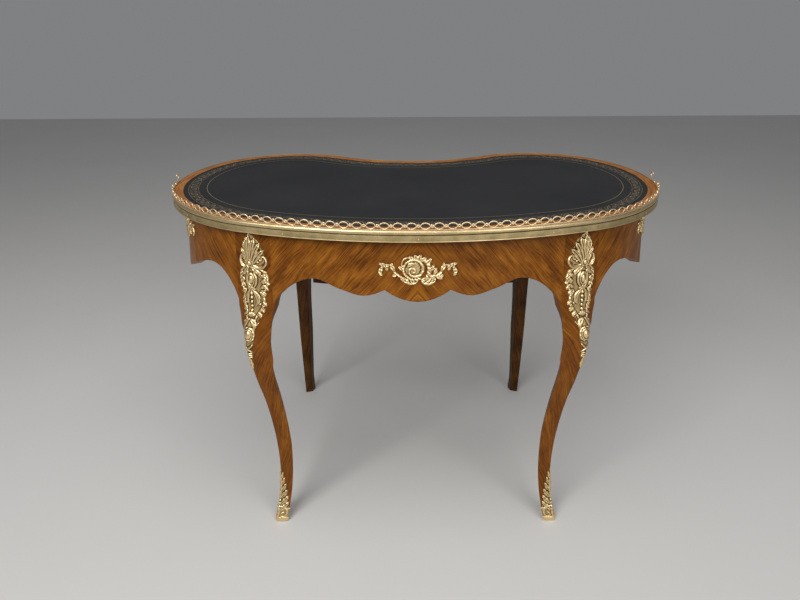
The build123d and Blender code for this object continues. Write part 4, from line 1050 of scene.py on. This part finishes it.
def sprig(way, a, z, da, dz, back, bend, drop, width, height, lobes):
    """A small leaf that starts at (a - back, z) and ends at (a + da, z + dz)."""
    points = on_side(way, (a - back, z), (a + da * bend, z + dz * drop), (a + da, z + dz))
    leaf(knee, points, width, height, lobes)


for way, slim in ((1, 1.0), (-1, 0.7)):
    # The palmette: broad leaves that curl outwards, and a scroll under them
    for (ta, tz), (a, z), w in (
            ((14, 722), (3, 676), 7.2), ((26, 713), (6, 672), 7.0), ((36, 700), (9, 668), 6.8)):
        points = on_side(way, (a, z), ((ta + a) * 0.42, (tz + z) / 2), (ta, tz))
        leaf(knee, points, w * slim, 4.2, 2, vein=0.5)
    rod(knee, on_side(way, (10, 664), (20, 661), (31, 663), (38, 672), (36, 682), (29, 684), (27, 677)),
        [2.0, 2.8, 3.2, 3.0, 2.4, 1.9, 1.6], 4.4)
    # A broken leaf beside the boss, and the frame round the cabochon with its leaves
    leaf(knee, on_side(way, (4, 660), (12, 656), (20, 650), (24, 641)), 6.4 * slim, 3.6, 3)
    rod(knee, on_side(way, (9, 650), (14, 640), (13, 628), (7, 618)), [1.8, 2.4, 2.4, 1.8], 4.0)
    rod(knee, on_side(way, (22, 658), (33, 654), (39, 643), (38, 628), (32, 615), (24, 606)),
        [1.8, 2.6, 3.0, 2.8, 2.4, 1.8], 4.0)
    for a, z, da, dz in ((37, 646, -13, -3), (38, 636, -15, -5), (36, 625, -14, -7), (31, 614, -11, -8)):
        sprig(way, a, z, da, dz, 0, 0.5, 0.35, 4.6 * slim, 3.0, 2)
    for a, z, da, dz in (
            (33, 652, 7, 3), (37, 643, 7, -2), (38, 633, 6, -5), (35, 622, 6, -7), (30, 612, 5, -9)):
        sprig(way, a, z, da, dz, 3, 0.5, 0.5, 4.4 * slim, 4.2, 1)
    for spot in on_side(way, (19, 672), (24, 676), (29, 646), (30, 630), (18, 600), (20, 585)):
        dome(knee, *spot, 2.2 * slim, 2.2, 3.0)
    # The long scroll with its fringe
    long_scroll = (24, 608), (30, 598), (28, 584), (21, 571), (14, 558), (12, 547), (17, 541), (21, 546)
    rod(knee, on_side(way, *long_scroll), [2.0, 2.8, 3.2, 3.0, 2.8, 2.4, 2.0, 1.7], 4.4)
    for a, z, da, dz in ((29, 592, 5, -12), (25, 578, 4, -12), (20, 566, 5, -11)):
        sprig(way, a, z, da, dz, 2, 0.6, 0.5, 4.2 * slim, 3.2, 2)
    leaf(knee, on_side(way, (5, 612), (13, 604), (16, 592), (10, 580)), 6.0 * slim, 3.4, 3)
    # Cup, roundel, collar and ribbed knop
    leaf(knee, on_side(way, (2, 552), (9, 547), (14, 538), (15, 529)), 5.6 * slim, 3.4, 2)
    rod(knee, on_side(way, (3, 534), (11, 531), (15, 522), (13, 511), (5, 504)), [1.8, 2.4, 2.6, 2.4, 1.8], 4.0)
    rod(knee, on_side(way, (11, 497), (6, 492), (0, 487)), [1.9, 2.3, 2.0], 3.6)
    rod(knee, on_side(way, (10, 479), (5, 483), (0, 487)), [1.7, 2.1, 2.0], 3.6)
print("side strokes reach", round(float(knee.height.max()), 1), "mm")

# %% Knee mount, middle and ground
leaf(knee, [(0, 676), (0, 700), (0, 727)], 7.6, 4.6, 3, vein=0.5)
dome(knee, 0, 668, 5.6, 5.6, 4.6, rim=1.7)
dome(knee, 2, 635, 5.8, 9.2, 5.0, rim=1.6)
shell(knee, 1, 621, 12, 205, 335, 5, 3.6)
for z, w in ((606, 3.4), (597, 3.1), (588, 3.0), (579, 2.8), (570, 2.8)):
    dome(knee, 1, z, w, w * 1.2, 3.8)
shell(knee, 1, 556, 11, 20, 160, 5, 3.6)
dome(knee, 2, 519, 7.6, 9.6, 3.8, rim=1.4)
shell(knee, 2, 512, 7.5, 30, 150, 5, 4.2)
for z, w in ((477, 7.2), (472.5, 7.6), (468, 6.8)):
    rod(knee, [(-w * 0.8, z), (0, z - 0.8), (w, z)], [1.4, 1.9, 1.4], 3.4)
leaf(knee, [(0, 465), (0, 450), (0, 432)], 6.2, 3.2, 3)
# The cast has a thin ground behind its strokes, with a wavy edge: height, half width
ground = np.array([
    (431, 0.5), (445, 3.5), (463, 7), (475, 9.5), (483, 9.5), (487, 9), (494, 12),
    (503, 15), (512, 18), (521, 18.5), (530, 17.5), (540, 17), (556, 21), (575, 24),
    (590, 28), (604, 31), (620, 37), (635, 40), (648, 38), (656, 32), (662, 27),
    (668, 29), (676, 36), (688, 34), (700, 30), (712, 24), (720, 15), (727, 4)])
width = np.interp(knee.Z, *ground.T) * (1 + 0.04 * np.sin(knee.Z * 0.75)) - 1.2
side_width = np.where(knee.A > 0, width, width * outer_share(knee.Z))
knee.lay(0.25 + 0 * knee.A, side_width - np.abs(knee.A))
print("ground laid,", round(float((knee.edge > 0).mean() * 100)), "% of the sheet is metal")

# %% Knee mount, chased and cast
# Chased lines along the scrolls, and across them where they turn leafy
lines = [[(12, 664), (22, 662), (31, 665), (36, 674)], [(34, 652), (38, 640), (36, 624)],
         [(27, 604), (29, 588), (22, 573), (15, 560)]]
upper_scroll = (606, 615, 628, 643, 654), (24, 32, 38, 39, 33)
lower_scroll = (547, 558, 571, 584, 598), (12, 14, 21, 28, 30)
for zs, path, reach in ((range(611, 656, 8), upper_scroll, 5), (range(553, 604, 8), lower_scroll, 4)):
    lines += [[(a - reach, z + 2), (a + reach, z - 4)] for z, a in zip(zs, np.interp(zs, *path))]
lines += [[(10, z), (17, z - 2)] for z in (506, 514, 522, 530)]
for way in (1, -1):
    for points in lines:
        chase(knee, on_side(way, *points), 0.9, 0.55)
sheet, quads, hollow = relief_mesh(knee)
for word, leg in LEGS.items():
    lower = 1.0 if word == "front" else 0.8
    cast_points = on_leg(leg, sheet * np.array([1, 1, lower]))
    for side, name in ((1, "right"), (-1, "left")):
        cast(f"knee_cast_{word}_{name}", cast_points, quads, hollow, side,
             replaces=[f"knee_mount_{word}_{name}"])
print("knee mount", len(quads), "quads")

# %% [markdown]
# ## Frieze mounts
# The mount in the middle of the front has a roundel left of its middle, with a swirl
# inside, a crescent on its right and leaves round its top. A band of leaves runs
# under it, and a leafy arm reaches out on each side. Only the arms are alike, so
# the rest is laid out stroke by stroke. The ends of the table get the same cast.
# %% Frieze mount strokes
band = Relief(-80, 80, -32, 34)
# The roundel with its swirl, and the crescent
band.lay(0.7 + 0 * band.A, 17.5 - np.hypot(band.A + 9, band.Z + 3))
roundel_rim = [(4, -18), (-6, -21.5), (-17, -18), (-26, -9), (-27.5, 1), (-23, 11), (-14, 16.5),
               (-4, 17), (4, 13)]
swirl = [(4, 13), (9, 6), (9, -4), (4, -12), (-4, -15), (-13, -13), (-17, -6), (-14, 0), (-8, 0), (-5, -5),
         (-8, -8)]
crescent = [(8, -22), (17, -17), (22, -6), (21, 6), (14, 15), (4, 17)]
rod(band, roundel_rim, [2.6], 4.0, steps=6)
rod(band, swirl, [3.2, 3.8, 3.8, 3.4, 3.0, 2.8, 2.4, 2.0, 1.8, 1.6, 1.5], 4.6, steps=6)
leaf(band, [(-20, 4), (-14, 9), (-5, 10)], 4.6, 3.4, 3)
rod(band, crescent, [3.0, 4.2, 5.0, 5.0, 4.2, 2.6], 4.6, steps=6)
# Leaves round its top, and a pierced loop on its left
for width, points in (
        (5.0, [(-12, 15), (-13, 21), (-18, 26)]), (5.2, [(-5, 16), (-4, 22), (-8, 29)]),
        (5.6, [(2, 16), (3, 22), (7, 29)]), (5.2, [(8, 15), (13, 20), (18, 23)]),
        (5.0, [(16, 12), (22, 16), (26, 23)]), (4.4, [(22, -2), (28, 2), (31, 9)]),
        (4.6, [(-28, -2), (-32, 1), (-38, 6)])):
    leaf(band, points, width, 3.8, 2, vein=0.5)
rod(band, [(-28, 2), (-31, 9), (-28, 18), (-20, 22), (-14, 20)], [1.7, 2.1, 2.3, 2.1, 1.7], 3.4)
# The band of leaves under it
leaf(band, [(2, -21), (-9, -26), (-23, -23), (-38, -15)], 6.4, 4.0, 3)
leaf(band, [(6, -21), (16, -26), (28, -24), (37, -17)], 7.2, 4.2, 4)
leaf(band, [(18, -19), (28, -16), (38, -11)], 5.6, 3.8, 3)
leaf(band, [(34, -14), (42, -17), (49, -21)], 4.8, 3.4, 2)
leaf(band, [(30, -10), (34, -4), (34, 4)], 4.6, 3.4, 2)
rod(band, [(-4, -20), (-16, -23), (-28, -18), (-36, -13)], [2.4, 2.8, 2.8, 2.4], 3.8)
# The arms
arm = np.array([(35, -14), (43, -8), (47, 0), (52, 6), (60, 7), (67, 4), (71, -4), (69, -13)])
arm_leaves = ((5.2, [(44, -5), (49, 4), (50, 14)]), (4.6, [(58, 5), (68, 8), (77, 12)]),
              (4.4, [(40, -10), (46, -13), (51, -15)]), (4.0, [(56, 6), (60, 1), (60, -5)]),
              (5.0, [(67, 5), (71, -2), (72, -9), (67, -16)]))
for way in ((1, 1), (-1, 1)):
    rod(band, arm * way, [2.4, 2.8, 2.8, 2.4, 2.6, 2.8, 2.6, 1.8], 4.0)
    for width, points in arm_leaves:
        leaf(band, np.array(points) * way, width, 3.6, 2, vein=0.5)
print("frieze mount", round(float((band.edge > 0).mean() * 100)), "% metal")

# %% Frieze mount, chased and cast


def chase_rim(directions, a, near, far, lean, width, depth):
    """Chased lines across a rim about (a, -3), at some directions in degrees."""
    for t in np.radians(directions):
        inner = a + near * cos(t), -3 + near * sin(t)
        outer = a + far * cos(t + lean), -3 + far * sin(t + lean)
        chase(band, [inner, outer], width, depth)


chase_rim(np.arange(140, 300, 17), -9, 15.5, 22, 0.15, 1.0, 0.42)
chase_rim([-48, -22, 2, 30, 52], 2, 14.5, 25, -0.2, 1.1, 0.5)
chase_rim(np.arange(-60, 60, 24), -9, 12, 19, 0.3, 0.8, 0.4)
for a, z, b, y in ((4, -24, 12, -20), (12, -27, 20, -21), (22, -27, 27, -20), (30, -24, 33, -17),
                   (-4, -26, -8, -20), (-14, -27, -17, -21), (-24, -24, -25, -18)):
    chase(band, [(a, z), (b, y)], 0.9, 0.55)
arm_vein = np.array([(37, -12), (44, -6), (49, 3), (59, 7), (67, 4), (71, -5), (69, -12)])
for way in ((1, 1), (-1, 1)):
    chase(band, arm_vein * way, 0.8, 0.6)
    for a, z, b, y in ((39, -13, 44, -11), (43, -5, 50, -6), (53, 9, 55, 4), (61, 10, 62, 4), (68, 8, 66, 2),
                       (74, 1, 68, -1), (74, -6, 68, -7)):
        chase(band, np.array([(a, z), (b, y)]) * way, 0.8, 0.55)
sheet, quads, hollow = relief_mesh(band)
front_cast_z, end_cast_z = board_foot - 0.059, board_foot - 0.041
cast("front_cast", on_frieze(0.0, front_cast_z, sheet), quads, hollow, replaces=["mount_front"])
end_cast_s = STARTS[1] + end_radius * (radians(-22) - turn_1)
for side, name in ((1, "right"), (-1, "left")):
    cast(f"end_cast_{name}", on_frieze(end_cast_s, end_cast_z, sheet), quads, hollow, side,
         replaces=[f"mount_end_{name}"])
print("frieze mount", len(quads), "quads")

# %% [markdown]
# ## Shoes
# Each front foot stands in a cast shoe: a low sleeve with a rolled toe, and a leafy
# tongue that climbs the arris. The sleeve follows the leg's own section, moved out
# along its normal, so it fits all round. The tongue is a relief like the mounts.
# %% Sleeve
sleeve_top, tongue_top = 0.036, 148
toe_z, toe_reach, toe_roll, sleeve_wall = 0.006, 0.0068, 0.0017, 0.0012
rim_roll, rim_below, rim_width = 0.0013, 0.0028, 0.0020
tuck_share, tuck_top = 0.20, 0.009


def sleeve(leg):
    """Rings up the foot: the leg's section plus the wall's thickness, swollen by half a
    circle at the toe and by a small band at the upper edge, and tucked in at the
    floor. The last ring turns in and meets the wood."""
    levels = np.linspace(0, 1, 40) * sleeve_top
    section = leg.loop(levels, 17)
    way = np.roll(section, -1, 1) - np.roll(section, 1, 1)
    way /= np.maximum(np.linalg.norm(way, axis=2, keepdims=True), 1e-9)
    normal = np.stack([way[..., 1], -way[..., 0]], -1) * leg.faces
    roll = toe_roll * np.sqrt(np.clip(1 - ((levels - toe_z) / toe_reach) ** 2, 0, 1))
    rim = rim_roll * np.exp(-(((levels - sleeve_top + rim_below) / rim_width) ** 2))
    tuck = 1 - tuck_share * np.clip(1 - levels / tuck_top, 0, 1)[:, None, None] ** 2
    middle = section.mean(1, keepdims=True)
    outside = middle + (section + normal * (sleeve_wall + roll + rim)[:, None, None] - middle) * tuck
    z = levels[:, None, None] + 0 * normal[..., :1]
    points = np.concatenate([outside, z], -1)
    turned_in = np.concatenate([section - normal * 0.0004, z], -1)[-1:]
    # Hollow: dirt and painted shade on the plain sleeve, none on the rolled toe and rim
    hollow = np.clip(0.42 - (roll + rim) * 240, 0, 1)[:, None] + 0 * z[..., 0]
    return np.concatenate([points, turned_in]), np.concatenate([hollow, hollow[-1:]])


shoe_points, shoe_hollow = sleeve(front_leg)
print("sleeve", shoe_points.shape[:2])

# %% Tongue and shoes
tongue = Relief(-25, 25, 4, tongue_top)
for way in ((1, 1), (-1, 1)):
    for z, a, w in ((134, 6, 3.6), (118, 9, 4.6), (101, 13, 5.6), (83, 16, 6.4), (65, 19, 7.0), (49, 22, 7.0)):
        points = np.array([(a * 0.1, z - 20), (a * 0.55, z - 10), (a, z + 4)])
        leaf(tongue, points * way, w * 0.86, 3.4, 2, vein=0.6)
    toe_scroll = np.array([(3, 40), (12, 38), (20, 30), (20, 18), (12, 13), (8, 19), (12, 24)])
    rod(tongue, toe_scroll * way, [1.8, 2.4, 2.8, 2.8, 2.4, 2.0, 1.7], 3.6)
    leaf(tongue, np.array([(2, 12), (9, 8), (20, 8)]) * way, 4.0, 2.6, 2)
leaf(tongue, [(0, 60), (0, 100), (0, 146)], 3.6, 3.4, 6)
for z, w in ((56, 3.0), (48, 3.4), (39, 4.0)):
    dome(tongue, 0, z, w, w * 1.1, 3.8)
leaf(tongue, [(0, 34), (0, 20), (0, 5)], 6.0, 3.6, 3)
tongue_width = [4, 34, 44, 60, 80, 105, 128, tongue_top], [24, 24, 21, 17, 13.5, 9.5, 6, 1]
tongue.lay(0.3 + 0 * tongue.A, np.interp(tongue.Z, *tongue_width) - np.abs(tongue.A))
sheet, quads, hollow = relief_mesh(tongue)
tongue_points = on_leg(front_leg, sheet)
faces = grid_faces(*shoe_points.shape[:2], False, True)
sole_cap = np.arange(shoe_points.shape[1])
for side, name in ((1, "right"), (-1, "left")):
    points = shoe_points * np.array([side, 1, 1])
    turned = faces[:, ::-1] if outside_in(points, faces) else faces
    build(f"shoe_{name}", points, turned, mount_metal, slot="gilt_metal", values={"hollow": shoe_hollow},
          caps=[sole_cap if side < 0 else sole_cap[::-1]], sharp=60, replaces=[f"sabot_front_{name}"])
    cast(f"shoe_leaf_{name}", tongue_points, quads, hollow, side)
print("shoes", 2 * len(quads), "quads")

# %% [markdown]
# ## Finish of the solids that stay
# The back wall, the drawer with its lock, the pins and everything under the top keep
# their solids, whose shape is good enough, and get a finish by their slot. The nails
# of the edge are gilt. Blocks, runners and kickers lie in the dark under the top and
# get painted shade, a near black wood, as in the photo nothing light shows there.
# %% Finish
FINISH = {
    "veneer": wall_wood, "crossbanding": wall_wood, "carcase_wood": oak, "leather": leather_hide,
    "brass": edge_metal, "gilt_metal": gallery_metal, "steel": steel,
}
slots = {s["node"]: s["material_slot"] for s in frame["record"]["subparts"]}
for node, piece in frame["nodes"].items():
    finish = FINISH[slots[node]]
    if node == "edge_pins":
        finish = mount_metal
    # Blocks, runners and kickers get painted shade
    if node.startswith(("glue_", "drawer_runner", "drawer_kicker")):
        finish = painted_shade_wood
    piece.data.materials.clear()
    piece.data.materials.append(finish)
print("finished", len(frame["nodes"]), "solids")

# %% [markdown]
# ## Camera
# The camera sees the table as the photo does. Its place, turn and lens were fitted to
# the outline of the top, the feet and the lower edge of the brass in the photo, as a
# camera set by eye would tilt every line a little.
# %% Camera
camera_data = bpy.data.cameras.new("camera")
camera_data.lens, camera_data.sensor_width = 27.0, 36.0
camera_data.clip_start = 0.01
camera = bpy.data.objects.new("camera", camera_data)
camera.location = (-0.0298, -1.3375, 1.108)
camera.rotation_euler = (radians(90 - 25.537), radians(0.302), radians(0.068))
bpy.context.collection.objects.link(camera)
bpy.context.scene.camera = camera
print("camera", [round(v, 3) for v in camera.location])

# %% [markdown]
# ## Light and floor
# The light in the photo is soft and comes from the front and above. Three large lamps
# do that: one from the left front, a weaker one from the right and one over the
# table, which gives the polish its sheen. The world fills the shadows. The floor is
# plain and pale, and belongs to the stage, not to the part.
# %% Light


def area_light(name, place, target, size, power):
    """A rectangular lamp at a place, turned towards a target."""
    data = bpy.data.lights.new(name, "AREA")
    data.shape, data.energy = "RECTANGLE", power
    data.size, data.size_y = size
    light = bpy.data.objects.new(name, data)
    light.location = place
    light.rotation_euler = (Vector(target) - Vector(place)).to_track_quat("-Z", "Y").to_euler()
    bpy.context.collection.objects.link(light)


area_light("key", (-1.5, -2.6, 2.5), (0, 0, 0.45), (1.8, 1.3), 78)
area_light("fill", (1.4, -2.7, 1.6), (0, 0, 0.5), (1.8, 1.8), 33)
area_light("top", (0.0, -0.9, 3.1), (0, 0, 0.5), (2.6, 1.4), 32)
world = bpy.data.worlds.new("studio")
world.use_nodes = True
sky = world.node_tree.nodes["Background"].inputs
sky["Color"].default_value, sky["Strength"].default_value = (0.80, 0.81, 0.84, 1), 0.27
bpy.context.scene.world = world
bpy.context.scene.view_settings.view_transform = "Standard"
print("lights", len(bpy.data.lights))

# %% Floor
floor_mesh = bpy.data.meshes.new("studio_floor")
floor_mesh.from_pydata([(-6, -6, 0), (6, -6, 0), (6, 6, 0), (-6, 6, 0)], [], [(0, 1, 2, 3)])
floor = bpy.data.objects.new("studio_floor", floor_mesh)
bpy.context.collection.objects.link(floor)
pale, t, shader = material("pale_floor", Roughness=0.75)
cloudy = t.noise(t.place(), 1.5)
t.feed(shader["Base Color"], t.mix(cloudy, (0.56, 0.55, 0.53, 1), (0.60, 0.59, 0.57, 1)))
floor_mesh.materials.append(pale)
print("floor", tuple(round(v) for v in floor.dimensions))
